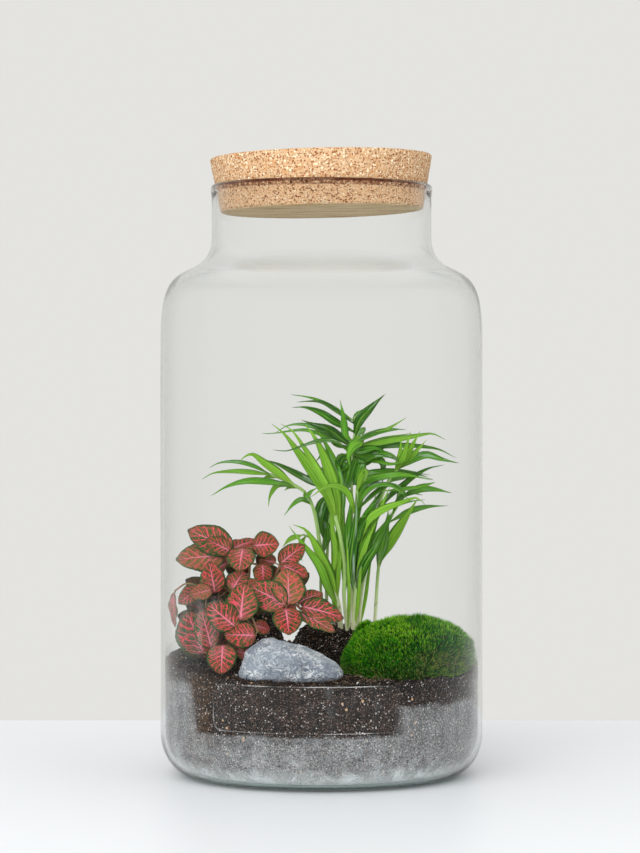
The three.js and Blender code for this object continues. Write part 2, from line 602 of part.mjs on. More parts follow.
// Palm shoots. Each has its root [x, y], its stem's places and radii, and its blades: how far up the stem a
// blade leaves, its width, its turn, and the places that it passes to its tip.
const PALM = {
  palm_seedling_back: {
    root: [0.5, 28], thick: 1, thin: 0.6,
    stem: [[-0.4, 101.7, 28], [-0.9, 123.5, 27], [-2.6, 130, 26], [-10.3, 134, 22]],
    blades: [
      [1, 4.5, 50, [[-14.6, 132.6, 20], [-17.7, 131.2, 19], [-22, 127, 18]]],
      [0.97, 4.5, 40, [[-11.5, 128, 24], [-11, 119, 27]]],
    ],
  },
  palm_frond_dark: {
    root: [3.3, 24], thick: 1.1, thin: 0.8,
    stem: [[2.8, 105, 24], [3.7, 131.4, 25], [5.4, 147.6, 25], [7.6, 157.7, 26], [9.3, 164.4, 26]],
    blades: [
      [0.9, 7.5, 25, [[2, 153, 23], [-1, 143, 22], [1.4, 130.2, 21]]],
      [0.9, 6, 20, [[5.5, 150, 29], [4.2, 140, 30], [3, 131, 30]]],
      [0.93, 5, 50, [[-2, 166.4, 27], [-9, 167, 29]]],
      [1, 4.5, 50, [[3, 170, 27], [-4, 171, 30]]],
      [0.96, 6, 50, [[-2, 162, 28], [-14.6, 168.2, 30], [-25.8, 173.9, 32], [-34, 176.2, 34]]],
      [1, 6, 45, [[18, 176, 32], [31, 181.5, 42], [42, 176, 52]]],
      [0.98, 6, 45, [[6, 176, 38], [2, 180, 52], [-4, 174, 64]]],
    ],
  },
  palm_frond_left: {
    root: [10.7, 12], thick: 1.7, thin: 0.8,
    stem: [[9.3, 95.5, 12], [5.2, 106, 12], [1.6, 117, 13], [-1, 129, 14], [-3, 142, 15], [-5, 149.6, 16],
      [-8.6, 157, 16], [-17.7, 163, 16], [-28.8, 167.8, 16]],
    blades: [
      [0.86, 6, 40, [[-24, 168.5, 13], [-32, 174, 11], [-39, 178.9, 10], [-43.4, 177.3, 9], [-46.2, 174.5, 9]]],
      [1, 5, 62, [[-40.8, 173.2, 20], [-50.2, 174.8, 23], [-58.3, 173.9, 25], [-63, 171.3, 26]]],
      [0.99, 5, 60, [[-40.8, 168.9, 13], [-52, 169.2, 10], [-61.4, 168.2, 8], [-66.7, 165, 7]]],
      [0.86, 6.5, 55, [[-32, 163.6, 8], [-42.7, 163.6, 3], [-53.3, 160.7, -1], [-61.7, 155.7, -3]]],
      [0.84, 5, 50, [[-24, 161.8, 17], [-28.6, 156, 19], [-29.9, 149.5, 20]]],
      [0.72, 4.5, 55, [[-10.9, 153.5, 12], [-16.5, 150.1, 8], [-20.8, 144.8, 6]]],
      [0.95, 3.6, 50, [[-30, 166.6, 18], [-33.3, 165, 21]]],
      [0.83, 3.6, 50, [[-18, 160.6, 20], [-20.8, 158.4, 23]]],
      [0.16, 7, 38, [[5.5, 107.5, 9], [0.5, 119.7, 6], [-4.5, 130.2, 3], [-9.5, 137, 1], [-16.1, 139.5, -1]]],
      [0.15, 6, 38, [[3, 106, 6], [-1, 116, 2], [-8.3, 126, -1], [-14.4, 133.6, -3], [-18.3, 138.9, -4]]],
    ],
  },
  palm_frond_upper_left: {
    root: [14.4, 4], thick: 1.3, thin: 1.1,
    stem: [[12.6, 100.2, 3], [13.1, 116, 1], [11, 130.8, -1], [7.6, 144.8, -3]],
    blades: [
      [0.98, 7.5, 35, [[3.6, 155.1, -5], [-5.4, 169.4, -7], [-14.6, 182, -9], [-20.8, 190.2, -10], [-28, 196, -11]]],
      [0.98, 6, 45, [[5.6, 155, -8], [-1.6, 169, -12], [-10.6, 183.8, -14], [-17, 192.7, -15], [-23, 196, -15]]],
      [0.86, 8, 25, [[8.6, 150, 3], [6, 164, 4], [-0.5, 182, 4], [-6, 191.5, 3], [-10.9, 197, 3]]],
      [0.86, 8, 25, [[10.4, 150, 5], [9, 165, 5.5], [5.5, 178, 7], [0.5, 188, 8], [-4, 193.5, 8]]],
    ],
  },
  palm_frond_tall: {
    root: [15.4, 17], thick: 1.3, thin: 0.6,
    stem: [[15.6, 90, 17], [17.7, 106.7, 16], [17.2, 130.8, 15], [17, 153.2, 14], [17, 172.8, 13], [17.7, 184, 12],
      [19, 194.6, 12], [18.6, 200.2, 12]],
    blades: [
      [0.975, 4, 58, [[7.3, 204.5, 15], [-2, 209.2, 18], [-9.5, 211.3, 20], [-17, 212.3, 22]]],
      [0.962, 4, 55, [[8.2, 203.2, 9], [-0.2, 208, 6], [-8.3, 208.6, 4], [-13.7, 208, 3]]],
      [0.928, 5.5, 38, [[7.6, 197, 8], [-0.2, 201.9, 4], [-8.9, 205.1, 1], [-16.5, 205.1, -1]]],
      [0.856, 6.5, 38, [[9.3, 189, 15], [4.2, 192.6, 17], [-5.2, 195.8, 19], [-11.4, 198.2, 20]]],
      [0.884, 5, 35, [[13.6, 189.6, 8], [12, 200.8, 4], [10.4, 209.5, 2]]],
      [0.9, 6.4, 32, [[21, 197, 9], [27.4, 204.5, 5], [33.6, 210.7, 2], [35.8, 212.6, 1]]],
      [0.945, 4, 30, [[20, 201.4, 14], [23.3, 204.2, 16]]],
      [0.876, 4.5, 60, [[28.3, 189.6, 16], [37.3, 193.2, 20], [47.6, 199.5, 24]]],
      [0.892, 4.5, 60, [[28.6, 190.7, 22], [38.4, 193, 32], [47.4, 192.7, 40]]],
      [0.848, 5.5, 52, [[30, 184.8, 11], [44, 187.4, 9], [54.9, 189.5, 8], [62.4, 190.4, 7], [69.5, 187, 6]]],
      [0.832, 5, 55, [[30, 182.5, 16], [46, 183.8, 19], [59, 182.9, 21], [66.7, 181.4, 22], [75.5, 177, 23]]],
      [0.862, 4, 55, [[28.6, 185.6, 18], [37.3, 188.2, 26], [50, 190.7, 34]]],
      [0.84, 4, 60, [[4.2, 187.9, 18], [-8.3, 192.3, 24], [-16.5, 192.1, 28], [-25.8, 190.8, 31], [-33.3, 190.4, 33]]],
      [0.87, 4.2, 50, [[5, 190.6, 22], [-10.5, 195.6, 32], [-20, 194.6, 38], [-25.4, 191, 41]]],
      [0.824, 4.2, 55, [[8, 186, 1], [-0.2, 186.4, -11], [-8.3, 184.4, -20], [-19.6, 180.8, -22], [-27.1, 181.4, -21]]],
      [0.91, 6, 20, [[21.5, 186.4, 6], [17.6, 183.6, 0], [15, 177.6, -1], [16.4, 171.7, 1]]],
      [0.8, 7.5, 15, [[12.5, 177, 12.5], [9.4, 169, 13.5], [10, 161, 14]]],
      [0.785, 7, 20, [[15.6, 173, 9], [13.6, 164.5, 8.5], [13.8, 157.5, 9.5]]],
      [0.815, 5, 45, [[20, 189, 30], [24, 193, 44], [22, 187, 58]]],
    ],
  },
  palm_frond_front: {
    root: [18.3, 5.5], thick: 2, thin: 0.9,
    stem: [[18.8, 97.2, 5], [19.2, 108.4, 4], [19.9, 122, 2], [19.8, 136.4, 0], [19.6, 150.4, -1], [20, 160, -1]],
    blades: [
      [0.3, 7, 25, [[16.6, 117, -1], [18.4, 133.6, -4], [19.6, 147.6, -6], [19.4, 158, -6]]],
      [0.32, 7, 25, [[22.7, 119.6, 0], [25, 130.8, -2], [27.4, 142, -3], [30.8, 158, -3]]],
      [0.3, 6, 30, [[24.4, 117.5, -4], [30.4, 126.9, -7], [35.4, 136.4, -9], [40.4, 145.6, -10]]],
      [0.58, 6.5, 42, [[25, 140.7, -6], [33.6, 147.6, -11], [43.6, 151.4, -15], [53.6, 154.5, -18], [58, 150.4, -19]]],
      [0.85, 5, 50, [[23.6, 155.7, -4], [28.6, 160.7, -7], [36, 162, -9], [42.3, 159.5, -11], [47.9, 153.9, -12]]],
      [0.98, 5.5, 52, [[24, 163.6, -2], [32.4, 165.9, -4], [43.6, 167.6, -6], [53, 166.4, -7], [62.4, 164.5, -8]]],
      [0.98, 5.5, 40, [[22, 166, -12], [25, 169, -26], [24, 163, -40]]],
      [0.8, 5, 40, [[14, 158, -12], [4, 161, -24], [-6, 155, -36]]],
    ],
  },
  palm_frond_right: {
    root: [21.2, 11], thick: 1.2, thin: 0.9,
    stem: [[22.3, 100.2, 10.5], [25.1, 116, 9.5], [28.4, 136.4, 8], [32.2, 150.4, 7.5], [37, 163, 7], [42.9, 171, 6]],
    blades: [
      [1, 6.5, 48, [[47.4, 173.4, 9], [53.5, 177, 11], [59.1, 178.5, 12], [66.7, 176.3, 12], [77.4, 173.9, 12]]],
      [0.72, 5, 50, [[38, 155, 10], [45, 161, 15], [53.5, 167.6, 18], [61, 171.3, 20], [69.2, 173, 21]]],
      [0.98, 4.6, 35, [[47.5, 177.5, 1], [51.5, 185, -2], [55.2, 192, -4]]],
      [0.98, 4.2, 35, [[46, 178, -4], [48, 185, -8], [50.2, 192, -11]]],
      [0.97, 3.8, 35, [[44, 178, 1], [44.4, 184, -1], [44.8, 188.9, -2]]],
      [1, 4.2, 35, [[50, 177.5, 2], [54.8, 182.4, 2], [58.9, 187, 2]]],
    ],
  },
  palm_frond_outer_right: {
    root: [30.2, 22], thick: 1.1, thin: 0.8,
    stem: [[30.6, 95.5, 22], [31.7, 112.3, 22], [33, 122.5, 22], [36.2, 136.4, 21.5], [39.9, 145.7, 21], [46.2, 155.4, 21]],
    blades: [
      [0.98, 4, 45, [[51, 158.4, 25], [56, 161.2, 28], [63.6, 163.3, 31]]],
      [1, 5.5, 52, [[56.1, 159.1, 18], [63.6, 159.1, 16], [73.3, 157.3, 14]]],
      [0.8, 5, 50, [[49.9, 147, 26], [59.1, 149.5, 31], [71.1, 150.1, 36]]],
      [0.52, 7, 38, [[38, 129, 18], [41.6, 135, 15], [48.8, 146, 11], [54.4, 154.8, 9]]],
      [0.5, 6.5, 25, [[35, 131, 18], [36.6, 140, 16.5], [37.6, 148.5, 16]]],
      [0.9, 5, 45, [[45, 158, 33], [46, 162, 46], [42, 157, 58]]],
    ],
  },
};

// Nerve plant stems. Each has its root [x, y], its stem's places, and its leaves: how far up the stem a leaf
// leaves, the places of its foot and its tip, its width and its turn.
const FITTONIA = {
  fittonia_top_left: {
    root: [-43, -15],
    stem: [[-45.5, 106, -17], [-50, 124.5, -22]],
    leaves: [
      [1, [-50.6, 124.6, -22], [-74.2, 134.8, -25], 16, 25],
      [1, [-50.8, 124.4, -24], [-63.8, 131.4, -34], 10.5, 22],
      [0.97, [-55, 122, -24], [-80.8, 120.6, -28], 17.5, 24],
      [1, [-49.5, 126, -18], [-34.6, 132.2, -3], 12, 55],
      [0.9, [-53, 117.6, -20], [-61.5, 113.6, -10], 12, 40],
    ],
  },
  fittonia_top: {
    root: [-40, -8],
    stem: [[-40.5, 110, -11], [-39, 127, -17]],
    leaves: [
      [1, [-38, 127.6, -17], [-23.8, 129, -19], 15, 20],
      [1, [-44, 126.4, -24], [-46, 113.8, -33], 16, 8],
      [0.78, [-33, 117, -22], [-32.6, 105.8, -27], 11.5, 18],
      [0.7, [-45, 118, -4], [-58.5, 123, 9], 15, 45],
      [0.92, [-38, 124, -6], [-29, 127, 12], 15, 40],
      [0.45, [-36, 103, 2], [-30, 98, 18], 15, 35],
    ],
  },
  fittonia_right_top: {
    root: [-33, -6],
    stem: [[-29, 103, -7], [-23, 117.5, -13]],
    leaves: [
      [1, [-22.8, 117.6, -13.5], [-9.6, 128.6, -11], 12.5, 22],
      [1, [-21.8, 116.2, -15], [-8, 110.8, -25], 12.5, 48],
      [0.98, [-26, 118.2, -13], [-35, 120.4, -8], 8.5, 35],
      [0.6, [-24, 107, 2], [-12, 108, 16], 15, 45],
      [0.35, [-22, 94, 6], [-13, 88.5, 14], 13, 40],
    ],
  },
  fittonia_centre: {
    root: [-34, -17],
    stem: [[-31, 101.5, -22], [-24.5, 99, -30], [-19.4, 95, -37]],
    leaves: [
      [1, [-18.6, 95.2, -37], [-18.6, 115.4, -31], 19, 14],
      [1, [-20.4, 94.8, -38], [-40.2, 105.4, -36], 18, 15],
      [1, [-20, 92.6, -39], [-18, 78.2, -48], 16.5, 12],
    ],
  },
  fittonia_right: {
    root: [-30, -11],
    stem: [[-24, 100, -14], [-16.6, 97, -21], [-11.5, 92, -28]],
    leaves: [
      [1, [-10.8, 93.4, -28], [13, 88, -22], 15.5, 38],
      [0.97, [-13, 95.8, -24], [1, 102.2, -11], 11, 35],
      [1, [-12, 89.6, -30], [8, 80.2, -35], 12.5, 52],
    ],
  },
  fittonia_front: {
    root: [-40, -20],
    stem: [[-42, 100, -30], [-44.4, 94, -42], [-45.4, 86.4, -49]],
    leaves: [
      [1, [-45, 86.2, -49.5], [-43.2, 107, -46.5], 18.5, 12],
      [1, [-48.4, 82.6, -50], [-63.4, 95.2, -50.5], 16, 14],
      [0.9, [-37.5, 83, -40], [-28.4, 80.6, -37], 9, 30],
    ],
    trailing: {
      from: 0.72,
      places: [[-39, 88, -42], [-35.6, 80, -46]],
      leaf: [[-37.2, 77.4, -48], [-54, 78, -52], 15, 18],
    },
  },
  fittonia_left: {
    root: [-47, -10],
    stem: [[-52, 103, -15], [-60, 104.6, -23], [-67, 104.4, -28]],
    leaves: [
      [0.8, [-59.6, 101.6, -30], [-62.4, 118.4, -37], 14, 12],
      [0.85, [-61.5, 103, -35], [-73.4, 100, -39], 10, 25],
      [1, [-68, 103.8, -29], [-79.4, 95.6, -32], 11, 28],
      [0.6, [-60, 102, -8], [-73.5, 106, 4], 16, 45],
      [0.4, [-54, 94, 0], [-64, 88, 14], 15, 40],
    ],
    trailing: {
      from: 1,
      places: [[-75, 106.6, -22], [-81.6, 102.6, -15]],
      leaf: [[-82.2, 100.6, -14], [-82.8, 82, -12], 11, 60],
    },
  },
  fittonia_middle: {
    root: [-37, -12.5],
    stem: [[-42, 101, -17], [-50, 103.2, -31]],
    leaves: [
      [1, [-49.8, 103, -30], [-43.2, 114.2, -22.5], 12.5, 14],
      [0.85, [-42, 103, -27], [-34.4, 107.4, -30], 9.5, 25],
    ],
  },
  fittonia_low: {
    root: [-57, -36],
    stem: [[-59.6, 66, -37], [-62, 69, -40]],
    leaves: [
      [1, [-66, 67.8, -36], [-74.6, 91, -33], 22, 16],
      [1, [-61.6, 71, -42.5], [-66.8, 92, -41], 14, 18],
      [1, [-54.8, 72, -57], [-56, 55.8, -62], 16.5, 10],
      [0.8, [-47, 68.6, -38], [-38.6, 66, -37], 9, 30],
      [0.7, [-64, 66, -22], [-76, 74, -12], 15, 40],
    ],
  },
};

const FITTONIA_STEM = 1;

function palmShoot(name, { root, thick, thin, stem, blades }) {
  const curve = rootedCurve(root, stem);
  const steps = 4 + stem.length;
  const pieces = [stemAlong(curve, thick, thin, steps)];
  blades.forEach(([at, width, turn, places], i) => {
    const course = places.map(seen);
    const from = onStem(curve, steps, at, course[0], thin * (0.3 + 0.04 * (i % 5)));
    pieces.push(blade([from, ...course], width, turn));
  });
  dig(root, thick);
  addMesh(name, fused(pieces), 'palm');
}

function fittoniaStem(name, { root, stem, leaves, trailing }) {
  const curve = rootedCurve(root, stem);
  const steps = 5 + stem.length;
  const pieces = [stemAlong(curve, FITTONIA_STEM, FITTONIA_STEM * 0.75, steps)];
  const grow = (from, [footPlace, tipPlace, width, turn]) => {
    pieces.push(ovalLeaf(from, seen(footPlace), seen(tipPlace), width, turn, 0.04 * width));
  };
  leaves.forEach(([at, ...leaf], i) => {
    grow(onStem(curve, steps, at - 0.012 * i, seen(leaf[0]), 0.2 + 0.05 * i), leaf);
  });
  if (trailing) {
    const from = onStem(curve, steps, trailing.from, seen(trailing.places[0]), 0.1);
    const trail = new THREE.CatmullRomCurve3([from, ...trailing.places.map(seen)], false, 'centripetal');
    pieces.push(stemAlong(trail, PETIOLE, PETIOLE, 5));
    grow(onStem(trail, 5, 1, seen(trailing.leaf[0]), 0.1), trailing.leaf);
  }
  dig(root, FITTONIA_STEM);
  addMesh(name, fused(pieces), 'fittonia');
}

addMesh('jar', jar(), 'glass');

const cork = addMesh('cork_stopper', corkStopper(), 'cork');
cork.position.z = RIM_HEIGHT;
cork.rotation.y = CORK_TILT * THREE.MathUtils.DEG2RAD;

addMesh('label_film', labelFilm(), 'film');

for (const [name, shoot] of Object.entries(PALM)) {
  palmShoot(name, shoot);
}
for (const [name, stem] of Object.entries(FITTONIA)) {
  fittoniaStem(name, stem);
}

const pebble = stone();
addMesh('stone', outward(pebble), 'stone');
const cushion = mossCushion();
addMesh('moss_cushion', outward(cushion), 'moss');

// The soil lies round the stone, the moss and every stem
const seats = [grown(pebble, GAP * 1.4), grown(cushion, GAP * 1.4), ...holes];
const soil = seats.map(solid).reduce((ground, seat) => ground.subtract(seat), solid(soilBlock()));
addMesh('soil', largestPiece(closed(shape(soil))), 'soil');

export default part;
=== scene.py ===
"""Looks of a glass plant terrarium: a corked jar with a palm, a nerve plant, a stone and moss on soil."""

from __future__ import annotations

import logging
import math
from dataclasses import dataclass, field
from enum import Enum

import bpy
import numpy as np
from mathutils import Matrix, Vector, noise

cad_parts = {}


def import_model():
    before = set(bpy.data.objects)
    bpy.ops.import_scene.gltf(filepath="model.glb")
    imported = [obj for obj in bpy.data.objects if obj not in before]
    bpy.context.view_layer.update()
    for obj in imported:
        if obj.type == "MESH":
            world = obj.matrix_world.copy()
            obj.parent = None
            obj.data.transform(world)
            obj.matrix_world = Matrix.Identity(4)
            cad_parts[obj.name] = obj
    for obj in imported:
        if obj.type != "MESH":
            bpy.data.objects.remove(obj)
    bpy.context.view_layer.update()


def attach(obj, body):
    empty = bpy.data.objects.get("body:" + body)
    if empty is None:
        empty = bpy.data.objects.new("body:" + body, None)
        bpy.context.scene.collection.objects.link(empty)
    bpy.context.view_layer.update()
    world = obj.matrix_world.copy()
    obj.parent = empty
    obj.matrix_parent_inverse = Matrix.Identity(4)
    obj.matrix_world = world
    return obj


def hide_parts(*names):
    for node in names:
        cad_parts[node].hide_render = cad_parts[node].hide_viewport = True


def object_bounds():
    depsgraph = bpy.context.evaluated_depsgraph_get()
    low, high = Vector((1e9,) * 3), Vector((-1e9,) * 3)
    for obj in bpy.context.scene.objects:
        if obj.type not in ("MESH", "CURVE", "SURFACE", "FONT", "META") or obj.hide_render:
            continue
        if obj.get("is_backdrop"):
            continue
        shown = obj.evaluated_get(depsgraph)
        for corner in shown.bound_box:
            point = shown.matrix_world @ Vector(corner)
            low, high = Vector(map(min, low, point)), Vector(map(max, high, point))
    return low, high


log = logging.getLogger("terrarium")

Color = tuple[float, float, float]
Place = tuple[float, float, float]
Spot = tuple[float, float]
Socket = bpy.types.NodeSocket
Piece = bpy.types.Object
Material = bpy.types.Material
Array = np.ndarray

MM = 0.001

# The photograph's frame, and the camera that its perspective gives
PHOTO_WIDTH = 640
PHOTO_HEIGHT = 853
JAR_AXIS_PIXEL = 321.5
FOCAL_PIXELS = 2732
EYE_DISTANCE = 1529
EYE_HEIGHT = 207
EYE_TILT = -0.47

# The jar's body and the middles of the stone and the moss, in millimetres, as in the part's source
BODY_RADIUS = 90
INSIDE_RADIUS = 87.8
FOOT_RADIUS = 71
HEEL_HEIGHT = 24
STONE_MIDDLE = (-16.4, -60)
MOSS_MIDDLE = (48.5, -28)

# How deep a stem starts in the soil, and how high above it the stem is still upright
ROOT_DEPTH = 6.0
COLLAR_HEIGHT = 1.5


class Slot(Enum):
    """The record's material slots."""

    GLASS = "clear_glass"
    CORK = "cork"
    FILM = "clear_film"
    SOIL = "potting_soil"
    STONE = "stone"
    MOSS = "moss"
    PALM = "palm_leaf"
    FITTONIA = "fittonia_leaf"


def smooth(low: float, high: float, value: Array | float) -> Array:
    """A smooth step of numbers, from 0 at low to 1 at high."""
    share = np.clip((value - low) / (high - low), 0, 1)
    return share * share * (3 - 2 * share)


def unit(vectors: Array) -> Array:
    """Vectors, one or one a row, scaled to a length of one."""
    return vectors / np.maximum(np.linalg.norm(vectors, axis=-1, keepdims=True), 1e-12)


def seen(place: Place) -> Array:
    """A place inside the jar from where it is seen, as in the part's source.

    Args:
        place: Across and up in the plane through the jar's axis, and the depth behind it, in millimetres.

    Returns:
        The point in millimetres.
    """
    across, up, depth = place
    scale = (EYE_DISTANCE + depth) / EYE_DISTANCE
    return np.array([across * scale, depth, EYE_HEIGHT + (up - EYE_HEIGHT) * scale])


# Shader nodes
class Value:
    """A number in a shader, which takes part in Python arithmetic."""

    def __init__(self, graph: Graph, socket: Socket) -> None:
        """Wraps an output socket of the graph."""
        self.graph = graph
        self.socket = socket

    def op(self, operation: str, *others: Value | float) -> Value:
        """The result of a Math node on this number and others."""
        return self.graph.math(operation, self, *others)

    def __add__(self, other: Value | float) -> Value:
        """This number plus another."""
        return self.op("ADD", other)

    __radd__ = __add__

    def __mul__(self, other: Value | float) -> Value:
        """This number times another."""
        return self.op("MULTIPLY", other)

    __rmul__ = __mul__

    def __sub__(self, other: Value | float) -> Value:
        """This number less another."""
        return self.op("SUBTRACT", other)

    def __rsub__(self, other: float) -> Value:
        """Another number less this one."""
        return self.graph.math("SUBTRACT", other, self)

    def __pow__(self, other: Value | float) -> Value:
        """This number to a power."""
        return self.op("POWER", other)

    def __neg__(self) -> Value:
        """This number with its sign turned."""
        return self.op("MULTIPLY", -1.0)

    def __abs__(self) -> Value:
        """This number without its sign."""
        return self.op("ABSOLUTE")

    def fract(self) -> Value:
        """The part of this number after the point."""
        return self.op("FRACT")

    def sin(self) -> Value:
        """The sine of this number."""
        return self.op("SINE")

    def most(self, other: Value | float) -> Value:
        """The larger of this number and another."""
        return self.op("MAXIMUM", other)

    def step(self, low: float, high: float) -> Value:
        """A smooth step of this number.

        Args:
            low: Where it starts.
            high: Where it ends. Below low, the step runs down.

        Returns:
            A number from 0 to 1.
        """
        if high < low:
            return 1.0 - self.step(high, low)
        settings = {"interpolation_type": "SMOOTHSTEP"}
        return Value(self.graph, self.graph.node("MapRange", settings, {0: self, 1: low, 2: high}).outputs[0])


class Graph:
    """The node tree of one material, or of the world."""

    def __init__(self, name: str, world: bool = False) -> None:
        """Makes an empty tree.

        Args:
            name: The new material's name, or the world's.
            world: Whether it is a world's tree.
        """
        self.block = (bpy.data.worlds if world else bpy.data.materials).new(name)
        self.block.use_nodes = True
        self.tree = self.block.node_tree
        self.tree.nodes.clear()

    def node(
        self,
        kind: str,
        settings: dict[str, object] | None = None,
        inputs: dict[str | int, object] | None = None,
    ) -> bpy.types.Node:
        """Adds a node.

        Args:
            kind: The node's type, without its ShaderNode prefix.
            settings: What is set on the node itself, before its sockets.
            inputs: Values or links of its sockets.

        Returns:
            The node.
        """
        made = self.tree.nodes.new("ShaderNode" + kind)
        for key, value in (settings or {}).items():
            setattr(made, key, value)
        for key, value in (inputs or {}).items():
            link = value.socket if isinstance(value, Value) else value
            if isinstance(link, Socket):
                self.tree.links.new(link, made.inputs[key])
            elif isinstance(link, tuple) and len(link) == 3 and made.inputs[key].type == "RGBA":
                made.inputs[key].default_value = (*link, 1)
            else:
                made.inputs[key].default_value = link
        return made

    def math(self, operation: str, *values: Value | float) -> Value:
        """A Math node's result."""
        made = self.node("Math", {"operation": operation}, dict(enumerate(values)))
        return Value(self, made.outputs[0])

    def place(self, scale: Place = (1, 1, 1)) -> Socket:
        """Object coordinates, stretched.

        Args:
            scale: How much each axis is stretched.

        Returns:
            The vector socket.
        """
        spot = self.node("TexCoord").outputs["Object"]
        if scale == (1, 1, 1):
            return spot
        return self.node("Mapping", None, {"Vector": spot, "Scale": Vector(scale)}).outputs[0]

    def axes(self, vector: Socket) -> tuple[Value, Value, Value]:
        """The three numbers of a vector."""
        parts = self.node("SeparateXYZ", None, {0: vector})
        return tuple(Value(self, parts.outputs[i]) for i in range(3))

    def join(self, x: Value | float, y: Value | float, z: Value | float = 0.0) -> Socket:
        """A vector of three numbers."""
        return self.node("CombineXYZ", None, {0: x, 1: y, 2: z}).outputs[0]

    def grain(
        self, vector: Socket, scale: float, detail: float = 3, rough: float = 0.5, warp: float = 0
    ) -> Value:
        """Noise about 0.5: its scale in 1/m, its finer layers, how strong those are, and how warped it is."""
        inputs = {"Vector": vector, "Scale": scale, "Detail": detail, "Roughness": rough, "Distortion": warp}
        return Value(self, self.node("TexNoise", None, inputs).outputs[0])

    def cells(self, vector: Socket, scale: float) -> tuple[Value, Value]:
        """Cells of uneven shape.

        Args:
            vector: Where they are read.
            scale: How many there are to a metre.

        Returns:
            The distance from each cell's middle, and a random number for the cell.
        """
        made = self.node("TexVoronoi", None, {"Vector": vector, "Scale": scale})
        parts = self.node("SeparateColor", None, {0: made.outputs["Color"]})
        return Value(self, made.outputs["Distance"]), Value(self, parts.outputs[0])

    def seams(self, vector: Socket, scale: float) -> Value:
        """The distance from the seams between such cells."""
        made = self.node("TexVoronoi", {"feature": "DISTANCE_TO_EDGE"}, {"Vector": vector, "Scale": scale})
        return Value(self, made.outputs[0])

    def mark(self, name: str) -> Value:
        """A number that the mesh carries."""
        made = self.node("Attribute", {"attribute_type": "GEOMETRY", "attribute_name": name})
        return Value(self, made.outputs["Fac"])

    def mix(self, a: Socket | Color, b: Socket | Color, share: Value | float) -> Socket:
        """Two colours mixed, by the share of the second."""
        return self.node("Mix", {"data_type": "RGBA"}, {0: share, 6: a, 7: b}).outputs[2]

    def bump(self, height: Value, distance: float, strength: float = 1.0) -> Socket:
        """The normal of a relief, whose height of 1 stands for the distance in metres."""
        inputs = {"Strength": strength, "Distance": distance, "Height": height}
        return self.node("Bump", None, inputs).outputs[0]

    def principled(self, **inputs: object) -> Socket:
        """A Principled shader, its inputs named with _ for a space."""
        named = {key.replace("_", " "): value for key, value in inputs.items()}
        return self.node("BsdfPrincipled", None, named).outputs[0]

    def blend(self, a: Socket, b: Socket, share: Value | float | Socket) -> Socket:
        """Two shaders mixed."""
        return self.node("MixShader", None, {0: share, 1: a, 2: b}).outputs[0]

    def finish(self, surface: Socket, volume: Socket | None = None) -> Material:
        """Joins the shaders to the output.

        Args:
            surface: The surface's shader.
            volume: The volume's shader.

        Returns:
            The material.
        """
        inputs = {"Surface": surface}
        if volume is not None:
            inputs["Volume"] = volume
        self.node("OutputMaterial", None, inputs)
        return self.block

    def solid(self, color: Socket, rough: Value | float, normal: Socket, gloss: float = 0.5) -> Material:
        """A material of one Principled shader, with the gloss as its Specular IOR Level."""
        inputs = {"Base_Color": color, "Roughness": rough, "Specular_IOR_Level": gloss, "Normal": normal}
        return self.finish(self.principled(**inputs))


# Finishes
@dataclass(frozen=True)
class GlassFinish:
    """Clear blown glass, faintly green where it is thick."""

    tint: Color = (0.996, 0.996, 0.995)
    rim_painted_refraction: Color = (0.19, 0.07, 0.03)
    edge_painted_shade: Color = (0.76, 0.762, 0.757)
    foot_tint: Color = (0.52, 0.73, 0.67)
    foot_painted_shade: Color = (0.07, 0.12, 0.10)
    gloss: Color = (0.10, 0.10, 0.10)
    depth_tint: Color = (0.48, 0.57, 0.53)
    shadow_tint: Color = (0.998, 0.999, 0.998)
    absorption: float = 25.0
    ior: float = 1.34
    rim: float = 0.3262

    def make(self) -> Material:
        """Makes the material.

        Returns:
            The material.
        """
        g = Graph("clear_glass")
        waves = g.grain(g.place((1, 1, 0.25)), 22, 2, 0.45)
        up = g.axes(g.place())[2]
        # The rim, a painted refraction of the cork: dark runs on its crown, dashes below, a paler line at its
        # lower edge
        lip = up.step(self.rim - 0.0008, self.rim - 0.0002)
        crown = up.step(self.rim + 0.0008, self.rim + 0.0013)
        lower = up.step(self.rim - 0.0012, self.rim - 0.0008) * up.step(self.rim - 0.0002, self.rim - 0.0006)
        dashes = g.grain(g.place((1, 1, 1.4)), 470, 3, 0.7).step(0.47, 0.53)
        runs = g.grain(g.place((1, 1, 0.2)), 40, 2, 0.5).step(0.42, 0.52)
        band = lip * (0.02 + crown * (0.70 + runs * 0.26) + dashes * (1.0 - crown) * 0.85) + lower * 0.34
        # Painted shade, greyer where the wall is seen along its length
        edge = Value(g, g.node("LayerWeight", None, {"Blend": 0.5}).outputs["Facing"]).step(0.42, 0.95)
        # The foot: green thick glass, a painted highlight line across it and painted contact shade along the
        # very bottom
        line = up.step(0.0013, 0.0017) * up.step(0.0025, 0.0021)
        foot = up.step(0.0031, 0.0020) * (1.0 - line * 0.8)
        color = g.mix(g.mix(self.tint, self.edge_painted_shade, edge), self.rim_painted_refraction, band)
        color = g.mix(g.mix(color, self.foot_tint, foot), self.foot_painted_shade, up.step(0.0006, 0.0002))
        glass = g.principled(
            Base_Color=color,
            Roughness=0.0,
            Coat_Weight=lip * 0.3,
            Coat_Roughness=0.02,
            IOR=self.ior,
            Specular_Tint=self.gloss,
            Transmission_Weight=1.0,
            Normal=g.bump(waves, 0.0012, 0.15),
        )
        clear = g.node("BsdfTransparent", None, {0: self.shadow_tint}).outputs[0]
        shadows = g.node("LightPath").outputs["Is Shadow Ray"]
        inside = g.node("VolumeAbsorption", None, {"Color": self.depth_tint, "Density": self.absorption})
        return g.finish(g.blend(glass, clear, shadows), inside.outputs[0])


